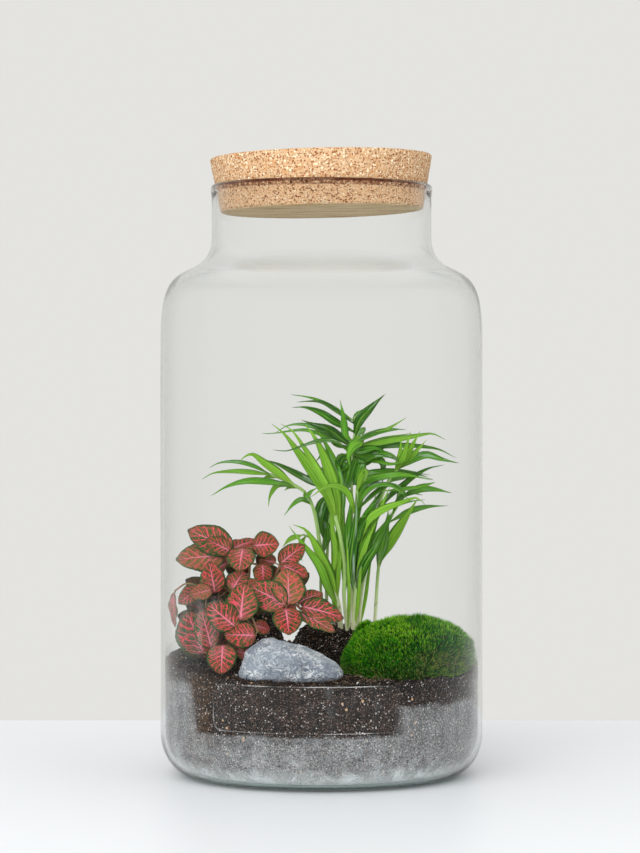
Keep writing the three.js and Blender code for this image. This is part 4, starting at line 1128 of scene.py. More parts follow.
@dataclass
class LeafMaker:
    """Adds leaves and stems to a skin."""

    skin: Skin
    stations: int
    columns: int
    thickness: float

    def __post_init__(self) -> None:
        """Works out the faces that all its leaves share."""
        self.faces, self.under, self.own = lens_faces(self.stations, self.columns)
        self.t = np.linspace(0, 1, self.stations)[:, None]
        self.share = np.linspace(-1, 1, self.columns)[None, :]

    def add(self, middle: Array, faces: Array, tone: float) -> None:
        """Adds one leaf.

        Args:
            middle: The places of its middle sheet, by station and column.
            faces: The upper-face direction at each station.
            tone: How light it is.
        """
        lift = self.thickness / 2 * (1 - self.share**4)[..., None] * faces[:, None, :]
        upper = (middle + lift).reshape(-1, 3)
        lower = (middle - lift).reshape(-1, 3)
        across = middle[self.stations // 2, -1] - middle[self.stations // 2, 0]
        along = middle[self.stations // 2 + 1, 0] - middle[self.stations // 2, 0]
        flipped = np.cross(along, across) @ faces[self.stations // 2] < 0
        along_across = np.broadcast_arrays(self.t, self.share * 0.5 + 0.5)
        uv = np.stack(along_across, axis=-1).reshape(-1, 2)
        self.skin.add(
            np.concatenate([upper, lower[self.own]]),
            self.faces[:, ::-1] if flipped else self.faces,
            np.concatenate([uv, uv[self.own]]),
            under=self.under,
            tone=tone,
            stalk=0.0,
        )

    def blade(self, course: Course, width: float, turn: float, tone: float, twist: float = 0) -> None:
        """Adds a palm leaflet: a long blade folded along its rib and drawn to a fine tip.

        Args:
            course: The curve that it follows.
            width: Its greatest width.
            turn: How far its upper edge leans back.
            tone: How light it is.
            twist: How much it turns from foot to tip, in degrees.
        """
        t = self.t[:, 0]
        middles = course.at(t)
        runs = course.runs(t)
        half = width / 2 * (0.24 + 0.76 * smooth(0, 0.35, t)) * (1 - 0.86 * smooth(0.42, 1, t))
        half = half * np.sqrt(np.clip(1 - t**9, 0.0004, 1))
        before = None
        sides, faces = [], []
        for run, share in zip(runs, t):
            before, side, face = lie(run, turn + twist * (share - 0.5), before)
            sides.append(side)
            faces.append(face)
        sides, faces = np.array(sides), np.array(faces)
        fold = 0.42 * half[:, None] * (np.abs(self.share) ** 1.15 - 0.75)
        pleat = 0.05 * half[:, None] * np.sin(self.share * 14)
        middle = (
            middles[:, None, :]
            + sides[:, None, :] * (self.share * half[:, None])[..., None]
            + faces[:, None, :] * (fold + pleat)[..., None]
        )
        self.add(middle, faces, tone)

    def oval(self, foot: Array, tip: Array, width: float, turn: float, tone: float) -> None:
        """Adds a nerve plant leaf: an oval with a short point, dished and waved.

        Args:
            foot: Where it starts.
            tip: Where its point is seen.
            width: Its greatest width.
            turn: How far its upper edge leans back.
            tone: How light it is.
        """
        run = tip - foot
        length = float(np.linalg.norm(run))
        run = unit(run)
        _, side, face = lie(run, turn, None)
        t, share = self.t, self.share
        form = np.sin(math.pi * (t * 0.985) ** 0.80) ** 0.66
        half = width / 2 * np.maximum(0.05, form) * np.where(t > 0.9, 1 - (t - 0.9) * 4.5, 1)
        edge = share * share
        wave = 0.045 * width
        phase = tone * 20
        dish = 0.22 * half * np.abs(share) ** 0.8 - 0.12 * half * edge
        ripple = wave * edge * np.sin(t * 13 + share * 2 + phase) * np.sin(math.pi * np.clip(t * 1.1, 0, 1))
        quilt = 0.012 * width * np.cos((t - 0.28 * np.abs(share)) * 2 * math.pi * 7) * (1 - edge)
        lift = dish + ripple + quilt - 0.13 * length * t * t + 0.06 * length * t
        scallop = 1 + 0.018 * np.sin(t * 60 + phase)
        middle = (
            foot
            + run * (length * (t - 0.045 * edge * (1 - t)))[..., None]
            + side * (share * half * scallop)[..., None]
            + face * lift[..., None]
        )
        self.add(middle, np.repeat(face[None], self.stations, axis=0), tone)

    def stem(
        self, course: Course, thick: float, thin: float, steps: int, tone: float,
        sides: int = 8, foot: float = 0.0,
    ) -> None:
        """Adds a round stem along a curve.

        Args:
            course: The curve.
            thick: Its radius at the start.
            thin: Its radius at the end.
            steps: How many pieces it is cut into.
            tone: How light it is.
            sides: How many flats it has round.
            foot: What its U starts from.
        """
        t = np.linspace(0, 1, steps + 1)
        middles, runs = course.at(t), course.runs(t)
        turns = (np.arange(sides) + 0.5) / sides * 2 * math.pi
        before = None
        rings = []
        for i, share in enumerate(t):
            before, side, _ = lie(runs[i], 90, before)
            radius = (thick + (thin - thick) * share) * (1 + 0.03 * math.sin(share * 31))
            spokes = np.cos(turns)[:, None] * before + np.sin(turns)[:, None] * side
            rings.append(middles[i] + radius * spokes)
        points = np.concatenate(rings)
        grid = np.arange((steps + 1) * sides).reshape(steps + 1, sides)
        nxt = np.roll(grid, -1, axis=1)
        faces = np.stack([grid[:-1], nxt[:-1], nxt[1:], grid[1:]], axis=-1).reshape(-1, 4)
        a, b, _, d = points[faces[0]]
        if np.cross(b - a, d - a) @ (a - middles[0]) < 0:
            faces = faces[:, ::-1]
        ends = [grid[0].tolist()[::-1], grid[-1].tolist()]
        first = points[ends[0]]
        if np.cross(first[1] - first[0], first[2] - first[0]) @ -runs[0] < 0:
            ends = [end[::-1] for end in ends]
        along, around = np.repeat(foot + t * (1 - foot), sides), np.tile(turns / (2 * math.pi), steps + 1)
        uv = np.stack([along, around], axis=1)
        self.skin.add(points, faces.tolist() + ends, uv, under=0.0, tone=tone, stalk=1.0)


# The soil's form, which the plants, the stone and the moss stand on
@dataclass(frozen=True)
class Ground:
    """Height and reach of the soil, in millimetres, as in the part's source."""

    level: float = 62
    rise_to_back: float = 0.05
    dish: float = 3
    lean: float = 1
    radius: float = 87.5
    unevenness: float = 0.7
    unevenness_size: float = 3.1
    # Root balls: middle, flat top's radius, foot's radius, height above the soil
    balls: tuple = ((-38, -12, 10, 24, 30), (9, 15, 19, 31, 17.5))

    def height(self, x: Array, y: Array) -> Array:
        """The soil's even height.

        Args:
            x: How far to the right the places lie.
            y: How far back.

        Returns:
            The height at each place.
        """
        side = x / INSIDE_RADIUS
        found = self.level + self.rise_to_back * y + self.dish * side * side - self.lean * side
        for ball_x, ball_y, top, foot, high in self.balls:
            found = found + high * (1 - smooth(top, foot, np.hypot(x - ball_x, y - ball_y)))
        return found

    def uneven(self, x: Array, y: Array) -> Array:
        """How far the soil lies above or below its even height at places."""
        return self.unevenness * rough(x, y, 0, self.unevenness_size)


GROUND = Ground()


def rough(x: Array, y: Array, z: Array | float, size: float) -> Array:
    """A repeatable unevenness, as in the part's source.

    Args:
        x: How far to the right the places lie.
        y: How far back.
        z: How high.
        size: How broad its bumps are.

    Returns:
        A number from -1 to 1 for each place.
    """
    a = np.sin((x * 1.7 + y * 0.9 + z * 0.4) / size + 1.3)
    b = np.sin((y * 1.9 - x * 0.8 + z * 1.1) / size + 4.1)
    c = np.sin((z * 1.5 + x * 1.2 - y * 0.7) / size + 2.6)
    return (a + b + c) / 3


def lumps(places: Array, size: float, octaves: int = 3) -> Array:
    """Layered noise about 0 at places, one a row, whose coarsest lumps have the size given."""
    return np.array([noise.fractal(Vector(p) / size, 1.0, 2.0, octaves) for p in places])


def oval_share(
    middle: Spot, half_length: float, half_depth: float, x: Array | float, y: Array | float
) -> Array | float:
    """How far out places lie in an oval seen from above: 0 at its middle and 1 on its edge."""
    return np.hypot((x - middle[0]) / half_length, (y - middle[1]) / half_depth)


@dataclass
class Jar:
    """The glass jar, its bare film and its cork stopper, in millimetres."""

    steps: int = 168
    neck: float = 61.45
    bore: float = 59.6
    wall_heights: tuple = (60, 110, 170, 215)
    shoulder: float = 243
    neck_start: float = 300
    neck_end: float = 312
    rim: float = 328.6
    # The fire-rounded rim's outline, from the outside over the top and down into the neck
    bead: tuple = ((61.45, 321), (61.5, 322.6), (61.75, 324.2), (61.95, 325.6), (62.0, 327), (61.8, 328.1),
                   (61.3, 328.8), (60.6, 329.0), (59.95, 328.7), (59.55, 327.9), (59.45, 326.6), (59.5, 325),
                   (59.6, 323))
    cork_top: float = 62.1
    cork_foot: float = 56.5
    cork_height: float = 30
    cork_in_neck: float = 13.8
    cork_edge: float = 0.7
    cork_tilt: float = -1.2
    cork_rings: tuple = (14, 28, 42)
    cork_levels: int = 18
    film_radius: float = 90.3
    film_thickness: float = 0.35
    film_from: float = -39.9
    film_to: float = 27.5
    film_low: float = 32.7
    film_high: float = 57.9
    film_corner: float = 6
    mist_radius: float = 87.65
    mist_thickness: float = 0.03

    def glass(self) -> Piece:
        """Blows the jar: outside, fire-rounded rim and inside in one spin.

        Returns:
            The object.
        """
        outer, inner, neck, bore, top = BODY_RADIUS, INSIDE_RADIUS, self.neck, self.bore, self.neck_start
        outline = [
            (0, 0.0), (30, 0.0), (60, 0.0),
            *heel(0, 0, 18),
            *((outer, z) for z in self.wall_heights),
            *bezier([(outer, self.shoulder), (outer, 268), (86, 276), (77, 280.5)], 18),
            *bezier([(77, 280.5), (68, 285), (neck, 288), (neck, top)], 16)[1:],
            (neck, self.neck_end),
            *self.bead,
        ]
        cavity = [
            (0, 4.4), (30, 4.2), (55, 3.7),
            *heel(3.1, 2.2, 18),
            *((inner, z) for z in self.wall_heights),
            *bezier([(inner, self.shoulder), (inner, 266.5), (84, 274), (75.6, 278.2)], 16),
            *bezier([(75.6, 278.2), (66.5, 282.8), (bore, 286), (bore, top)], 14)[1:],
            (bore, self.neck_end),
        ]
        return spun("glass_jar", outline + cavity[::-1], self.steps)

    def cork(self) -> Piece:
        """Cuts the stopper and roughens its skin.

        Returns:
            The object.
        """
        slope = (self.cork_top - self.cork_foot) / self.cork_height
        outline = [(0, 0), *((r, 0) for r in self.cork_rings), (self.cork_foot - self.cork_edge, 0)]
        for i in range(self.cork_levels + 1):
            z = self.cork_edge + (self.cork_height - 2 * self.cork_edge) * i / self.cork_levels
            outline.append((self.cork_foot + slope * z, z))
        rings = (self.cork_top - self.cork_edge, *self.cork_rings[::-1], 0)
        outline += [(r, self.cork_height) for r in rings]
        outline = [(r, z - self.cork_in_neck) for r, z in outline]
        piece = spun("cork_body", outline, self.steps)
        places = points_of(piece) / MM
        out = unit(places * np.array([1, 1, 0.0]) + 1e-9)
        places += out * (lumps(places, 2.6, 3) * 0.16)[:, None]
        places[:, 2] += lumps(places + 50, 3.0, 2) * 0.12
        mark_points(piece, cut=places[:, 2] < 0.4 - self.cork_in_neck)
        turn = Matrix.Rotation(math.radians(self.cork_tilt), 3, "Y")
        places = places @ np.array(turn).T
        places[:, 2] += self.rim
        move_points(piece, places * MM)
        return piece

    def lay(
        self, piece: Piece, angle: Array, z: Array, from_edge: Array,
        radius: float, wall: float,
    ) -> Piece:
        """Bends a flat sheet round the jar and gives it its thickness.

        Args:
            piece: The sheet.
            angle: How far round the jar each of its points goes, from the front.
            z: How high each goes.
            from_edge: How far each lies from the sheet's edge, which its finish reads.
            radius: How far out the sheet lies.
            wall: Its thickness outwards, or below 0 inwards.

        Returns:
            The object.
        """
        move_points(piece, np.stack([radius * np.sin(angle), -radius * np.cos(angle), z], axis=1) * MM)
        mark_points(piece, from_edge=from_edge)
        bpy.ops.object.mode_set(mode="EDIT")
        bpy.ops.mesh.select_all(action="SELECT")
        bpy.ops.mesh.remove_doubles(threshold=2e-6)
        bpy.ops.object.mode_set(mode="OBJECT")
        faces_out = piece.data.polygons[0].normal @ piece.data.vertices[0].co > 0
        shell = piece.modifiers.new("wall", "SOLIDIFY")
        shell.thickness = abs(wall) * MM
        shell.offset = 1 if faces_out == (wall > 0) else -1
        bpy.ops.object.modifier_apply(modifier="wall")
        bpy.ops.object.shade_smooth()
        return piece

    def film(self) -> Piece:
        """Lays the bare film round the front of the glass, with a mark along its rim.

        Returns:
            The object.
        """
        half = math.radians(self.film_to - self.film_from) * self.film_radius / 2
        high = (self.film_high - self.film_low) / 2
        piece = flat_grid("bare_film", across=96, up=24, size=2)
        flat = points_of(piece)
        u = flat[:, 0] * half
        # Rounded corners: a point near a corner is drawn in onto its arc
        corner = self.film_corner
        inset = np.clip(corner - (half - np.abs(u)), 0, corner)
        reach = high - (corner - np.sqrt(np.maximum(corner**2 - inset**2, 0)))
        v = flat[:, 1] * reach
        angle = math.radians((self.film_from + self.film_to) / 2) + u / self.film_radius
        z = (self.film_low + self.film_high) / 2 + v
        from_edge = np.minimum(half - np.abs(u), reach - np.abs(v))
        return self.lay(piece, angle, z, from_edge, self.film_radius, self.film_thickness)

    def mist(self, name: str, low: float, high: float, left: float, right: float) -> Piece:
        """Lays a patch of fine drops on the inside of the glass.

        Args:
            name: The piece's name.
            low: Its lower edge's height.
            high: Its upper edge's height.
            left: Where it starts round the jar, in degrees from the front.
            right: Where it ends.

        Returns:
            The object.
        """
        piece = flat_grid(name, across=40, up=12, size=1)
        u, v = points_of(piece)[:, :2].T
        angle = np.radians(left + (u + 0.5) * (right - left))
        z = low + (v + 0.5) * (high - low)
        from_edge = np.minimum(0.5 - np.abs(u), 0.5 - np.abs(v))
        return self.lay(piece, angle, z, from_edge, self.mist_radius, -self.mist_thickness)

    def build(self) -> None:
        """Builds and dresses the glass, the cork, the film and the mist inside the glass."""
        dress(self.glass(), Slot.GLASS, GlassFinish().make(), "jar")
        dress(self.cork(), Slot.CORK, CorkFinish().make(), "cork_stopper")
        dress(self.film(), Slot.FILM, FilmFinish().make(), "label_film")
        drops = MistFinish().make()
        dress(self.mist("mist_left", low=68, high=106, left=-84, right=-34), Slot.GLASS, drops)
        dress(self.mist("mist_right", low=65, high=94, left=66, right=94), Slot.GLASS, drops)


@dataclass
class Soil:
    """The soil with its crumbs and rootlets, in millimetres."""

    steps: int = 210
    wall_foot: float = 28
    wall_top: float = 54
    # Half lengths and depths of the stone's and the moss's seats, and of what crumbs and rootlets keep clear
    stone_seat: Spot = (25.0, 13.0)
    moss_seat: Spot = (33.0, 33.5)
    stone_crumbless: Spot = (28, 15.5)
    moss_crumbless: Spot = (37, 37.5)
    stone_rootless: Spot = (29, 17)
    crumbs: int = 2300
    crumb_reach: float = 86.2
    roots: int = 84
    root_reach: float = 82
    # Where rootlets lie: middles, and how far they spread
    root_spots: tuple = ((6, -46, 12), (16, -58, 9), (30, -68, 9), (9, 15, 20), (-38, -12, 18), (55, 20, 20),
                         (0, -70, 14))
    seed: int = 5

    def block(self) -> Piece:
        """Spins the soil's body and raises its uneven top.

        Returns:
            The object.
        """
        outline = [(0, 4.7), (30, 4.5), (55, 4.0), *heel(3.4, 2.5, 14)]
        outline += [(GROUND.radius, z) for z in np.linspace(27, self.wall_top, 23)]
        outline += [(r, GROUND.level) for r in np.linspace(GROUND.radius, 0, 66)]
        piece = spun("soil_body", outline, self.steps)
        places = points_of(piece) / MM
        x, y, z = places.T.copy()
        ground = GROUND.height(x, y) + GROUND.uneven(x, y)
        top = z > self.wall_top + 4
        out = np.hypot(x, y)
        fine = np.zeros(len(x))
        fine[top] = lumps(np.stack([x, y, z * 0], axis=1)[top], 3.4, 4) * 1.5
        fine *= 1 - 0.6 * smooth(80, 87, out)
        wall = (~top) & (z > self.wall_foot)
        rise = (z - self.wall_foot) / (GROUND.level - self.wall_foot)
        raised = np.where(wall, self.wall_foot + rise * (ground - self.wall_foot), z)
        places[:, 2] = np.where(top, np.minimum(ground + fine, self.seats(x, y, ground)), raised)
        move_points(piece, places * MM)
        mark_points(piece, wall=(~top) | (out > GROUND.radius - 0.8))
        return piece

    def seats(self, x: Array, y: Array, ground: Array) -> Array:
        """The height that the soil keeps under the stone and the moss.

        Args:
            x: How far to the right the places lie.
            y: How far back.
            ground: The soil's height there.

        Returns:
            The greatest height at each place.
        """
        stone = oval_share(STONE_MIDDLE, *self.stone_seat, x, y)
        moss = oval_share(MOSS_MIDDLE, *self.moss_seat, x, y)
        seat = np.where(stone < 1, 58.0 + 4.5 * stone**4, 999)
        return np.minimum(seat, np.where(moss < 1, ground - 2.5, 999))

    def loose(self) -> Piece:
        """Scatters crumbs of peat and bark and grains of perlite, each a copy of one lumpy crumb.

        Returns:
            The object.
        """
        model = ball("crumb", subdivisions=1)
        shape = points_of(model)
        faces = [list(p.vertices) for p in model.data.polygons]
        bpy.data.objects.remove(model)
        pick = np.random.default_rng(self.seed)
        skin = Skin()
        for i in range(self.crumbs):
            # Every third crumb lies on a root ball
            middle_x, middle_y, reach, spare = 0.0, 0.0, self.crumb_reach + 0.2, 1
            if i % 3 == 0:
                middle_x, middle_y, _, reach, _ = GROUND.balls[i % 2]
                spare = 1.2
            angle, away = pick.uniform(0, 2 * math.pi), reach * math.sqrt(pick.uniform(0, spare))
            x, y = middle_x + away * math.cos(angle), middle_y + away * math.sin(angle)
            size = pick.uniform(0.3, 1.0) ** 1.6 * 1.25
            stone = oval_share(STONE_MIDDLE, *self.stone_crumbless, x, y)
            moss = oval_share(MOSS_MIDDLE, *self.moss_crumbless, x, y)
            if math.hypot(x, y) > self.crumb_reach or min(stone, moss) < 1:
                continue
            turn = np.array(Matrix.Rotation(pick.uniform(0, 6.28), 3, Vector(pick.normal(size=3))))
            lumpy = shape * pick.uniform(0.6, 1.25, (len(shape), 1))
            lumpy = lumpy * [1, pick.uniform(0.6, 1), pick.uniform(0.5, 0.9)]
            z = float(GROUND.height(x, y) + GROUND.uneven(x, y)) + size * 0.35
            skin.add((lumpy * size) @ turn.T + [x, y, z], faces, None, tone=pick.uniform(0, 1))
        piece = skin.build("soil_crumbs", CrumbFinish().make())
        piece.data.shade_flat()
        return piece

    def rootlets(self) -> Piece:
        """Lays rootlets and straws on the soil, mostly at the moss's foot and on the root balls.

        Returns:
            The object.
        """
        pick = np.random.default_rng(self.seed + 1)
        skin = Skin()
        maker = LeafMaker(skin, stations=3, columns=3, thickness=0.1)
        for i in range(self.roots):
            x, y, spread = self.root_spots[i % len(self.root_spots)]
            x, y = x + pick.normal(0, spread * 0.5), y + pick.normal(0, spread * 0.5)
            stone = oval_share(STONE_MIDDLE, *self.stone_rootless, x, y)
            if math.hypot(x, y) > self.root_reach or stone < 1:
                continue
            angle, length = pick.uniform(0, 2 * math.pi), pick.uniform(2.5, 7)
            points = []
            for j in range(4):
                px = x + math.cos(angle) * length * j / 3 + pick.normal(0, 0.5)
                py = y + math.sin(angle) * length * j / 3 + pick.normal(0, 0.5)
                pz = float(GROUND.height(px, py)) + 0.9 + pick.uniform(0, 1.0) * (j % 3)
                points.append(np.array([px, py, pz]))
            maker.stem(Course(points), thick=0.16, thin=0.08, steps=7, tone=pick.uniform(0, 1), sides=4)
        return skin.build("soil_rootlets", RootFinish().make())

    def build(self) -> None:
        """Builds and dresses the soil, its crumbs and its rootlets."""
        dress(self.block(), Slot.SOIL, SoilFinish().make(), "soil")
        dress(self.loose(), Slot.SOIL)
        dress(self.rootlets(), Slot.SOIL)


@dataclass
class Stone:
    """The pebble, in millimetres."""

    middle: Spot = STONE_MIDDLE
    half_length: float = 28
    half_depth: float = 16
    waist: float = 62
    sink: float = 6
    # Its upper outline, as height over the distance from its left end
    back: tuple = ((0, 63.5), (4, 74.5), (9.5, 79), (13, 81), (18.5, 81), (24, 78.8), (33, 76.6), (42, 73.4),
                   (48.5, 70), (54, 66.2), (56, 63.2))

    def build(self) -> None:
        """Shapes the pebble from a ball and gives it its chips and ledges."""
        piece = ball("pebble", subdivisions=6)
        lengthwise, across, up = unit(points_of(piece)).T
        section = np.hypot(across, up)
        across, up = (np.divide(v, section, out=np.zeros_like(v), where=section > 1e-6) for v in (across, up))
        full = section**0.62
        x = self.middle[0] + self.half_length * lengthwise
        away, heights = np.array(self.back).T
        ridge = np.interp(x - self.middle[0] + self.half_length, away, heights)
        crest = (ridge - self.waist) * up * np.minimum(1, full * 1.6)
        y = self.middle[1] + self.half_depth * full * across
        z = self.waist + np.where(up > 0, crest, self.sink * up * full)
        ledge = np.where(up > 0, 0.5 * rough(y, z, x, 5), 0)
        places = np.stack([x, y + 0.9 * rough(x, y, z, 6), z + ledge], axis=1)
        centre = np.array([*self.middle, self.waist + 4])
        places += unit(places - centre) * (lumps(places, 7.5, 5) * 0.75)[:, None]
        move_points(piece, places * MM)
        bpy.ops.object.shade_smooth()
        dress(piece, Slot.STONE, StoneFinish().make(), "stone")


@dataclass
class Moss:
    """The moss cushion and its shoots, in millimetres."""

    middle: Spot = MOSS_MIDDLE
    half_length: float = 37.5
    half_depth: float = 38
    height: float = 29
    sink: float = 3
    reach: float = 85.5
    lump: float = 1.1
    shoots: int = 13000
    shoot_reach: float = 87.2
    shoot_lengths: tuple[float, float] = (1.8, 4.4)
    shoot_radii: tuple[float, float] = (0.18, 0.31)
    seed: int = 11

    def form(self, directions: Array) -> Array:
        """The cushion's surface, as in the part's source.

        Args:
            directions: Points of a ball of radius 1, one a row.

        Returns:
            The place on the cushion for each of them.
        """
        out = np.array(self.middle) + directions[:, :2] * [self.half_length, self.half_depth]
        away = np.linalg.norm(out, axis=1)
        out = out * np.minimum(1, self.reach / away)[:, None]
        ground = GROUND.height(out[:, 0], out[:, 1]) - 1
        z = directions[:, 2]
        up = np.where(z > 0, self.height * np.abs(z) ** 0.9, -self.sink * np.sqrt(np.abs(z)))
        lump = np.where(z > 0, self.lump * z * rough(out[:, 0], out[:, 1], up, 3.4), 0)
        return np.column_stack([out, ground + up + lump])

    def cushion(self) -> Piece:
        """Shapes the cushion's body from a ball, a little inside its shoots.

        Returns:
            The object.
        """
        piece = ball("moss_body", subdivisions=6)
        places = self.form(unit(points_of(piece)))
        outward = unit(places - [*self.middle, 66])
        places -= outward * (0.8 + lumps(places, 2.2, 2) * 0.5)[:, None]
        move_points(piece, places * MM)
        bpy.ops.object.shade_smooth()
        # Its low tip mark gives the body the painted shade of the shoots' feet
        mark_points(piece, tip=0.12, tone=0.2, dry=0.0)
        return piece

    def fuzz(self) -> Piece:
        """Plants shoots all over the cushion, each a bent three-sided spike.

        Returns:
            The object.
        """
        pick = np.random.default_rng(self.seed)
        spot = unit(pick.normal(size=(self.shoots * 2, 3)))
        spot = spot[spot[:, 2] > -0.02][: self.shoots]
        foot = self.form(spot)
        side = unit(np.cross(spot, [0.3, 0.2, 1.0]))
        edge_a, edge_b = (self.form(unit(spot + 0.01 * way)) - foot for way in (side, np.cross(spot, side)))
        normal = unit(np.cross(edge_a, edge_b))
        normal *= np.sign(np.sum(normal * (foot - [*self.middle, 60]), axis=1))[:, None]
        aim = unit(normal + [0, 0, 0.45] + pick.normal(0, 0.30, normal.shape))
        length = pick.uniform(*self.shoot_lengths, len(foot)) * (0.72 + 0.28 * spot[:, 2])
        width = pick.uniform(*self.shoot_radii, len(foot))
        foot = foot - normal * 1.0
        across = unit(np.cross(aim, pick.normal(size=aim.shape)))
        other = np.cross(aim, across)
        bend = unit(aim + [0, 0, 0.3] + pick.normal(0, 0.25, aim.shape))
        rows = []
        for share, wide in ((0.0, 1.0), (0.55, 0.85)):
            centre = foot + aim * (length * share)[:, None]
            for turn in (0, 2 * math.pi / 3, 4 * math.pi / 3):
                spoke = across * math.cos(turn) + other * math.sin(turn)
                rows.append(centre + spoke * (width * wide)[:, None])
        rows.append(foot + aim * (length * 0.55)[:, None] + bend * (length * 0.45)[:, None])
        points = np.stack(rows, axis=1)
        flat = points.reshape(-1, 3)
        away = np.hypot(flat[:, 0], flat[:, 1])
        flat[:, :2] *= np.minimum(1, self.shoot_reach / np.maximum(away, 1e-6))[:, None]
        base = (np.arange(len(foot)) * 7)[:, None]
        quads = [base + np.array(q) for q in ((0, 1, 4, 3), (1, 2, 5, 4), (2, 0, 3, 5))]
        tips = [base + np.array(q) for q in ((3, 4, 6), (4, 5, 6), (5, 3, 6))]
        faces = np.concatenate(quads).tolist() + np.concatenate(tips).tolist()
        faces += (base + np.array((2, 1, 0))).tolist()
        skin = Skin()
        skin.add(flat, faces)
        piece = skin.build("moss_shoots", MossFinish().make())
        tone = np.repeat(pick.uniform(0, 1, len(foot)), 7)
        dryness = smooth(42, 54, foot[:, 0]) * smooth(-26, -42, foot[:, 1]) * smooth(79, 68, foot[:, 2])
        dryness = np.maximum(dryness, smooth(67, 63, foot[:, 2]) * 0.7)
        dryness = np.maximum(dryness, smooth(84, 92, foot[:, 2]) * 0.62)
        tip = np.tile([0, 0, 0, 0.55, 0.55, 0.55, 1.0], len(foot))
        mark_points(piece, tip=tip, tone=tone, dry=np.repeat(dryness, 7))
        return piece

    def build(self) -> None:
        """Builds and dresses the cushion and its shoots."""
        shoots = self.fuzz()
        dress(shoots, Slot.MOSS)
        dress(self.cushion(), Slot.MOSS, shoots.data.materials[0], "moss_cushion")


@dataclass(frozen=True)
class Shoot:
    """A palm shoot: its root, its stem's radii at foot and top, its lightness, its places and its blades.

    A blade has how far up the stem it leaves, its width, its turn, the places that it passes to its tip and,
    if that isn't drawn, its lightness.
    """

    root: Spot
    thick: float
    thin: float
    tone: float
    stem: list[Place]
    blades: list[tuple]


@dataclass(frozen=True)
class LeafyStem:
    """A stem of the nerve plant: its root, its places, its leaves, and further leaves that fill its shade.

    A leaf has how far up the stem it leaves, the places of its foot and its tip, its width and its turn. A
    trailing branch has how far up it leaves, its places and its one leaf.
    """

    root: Spot
    stem: list[Place]
    leaves: list[tuple]
    shade: list[tuple] = field(default_factory=list)
    trailing: tuple | None = None


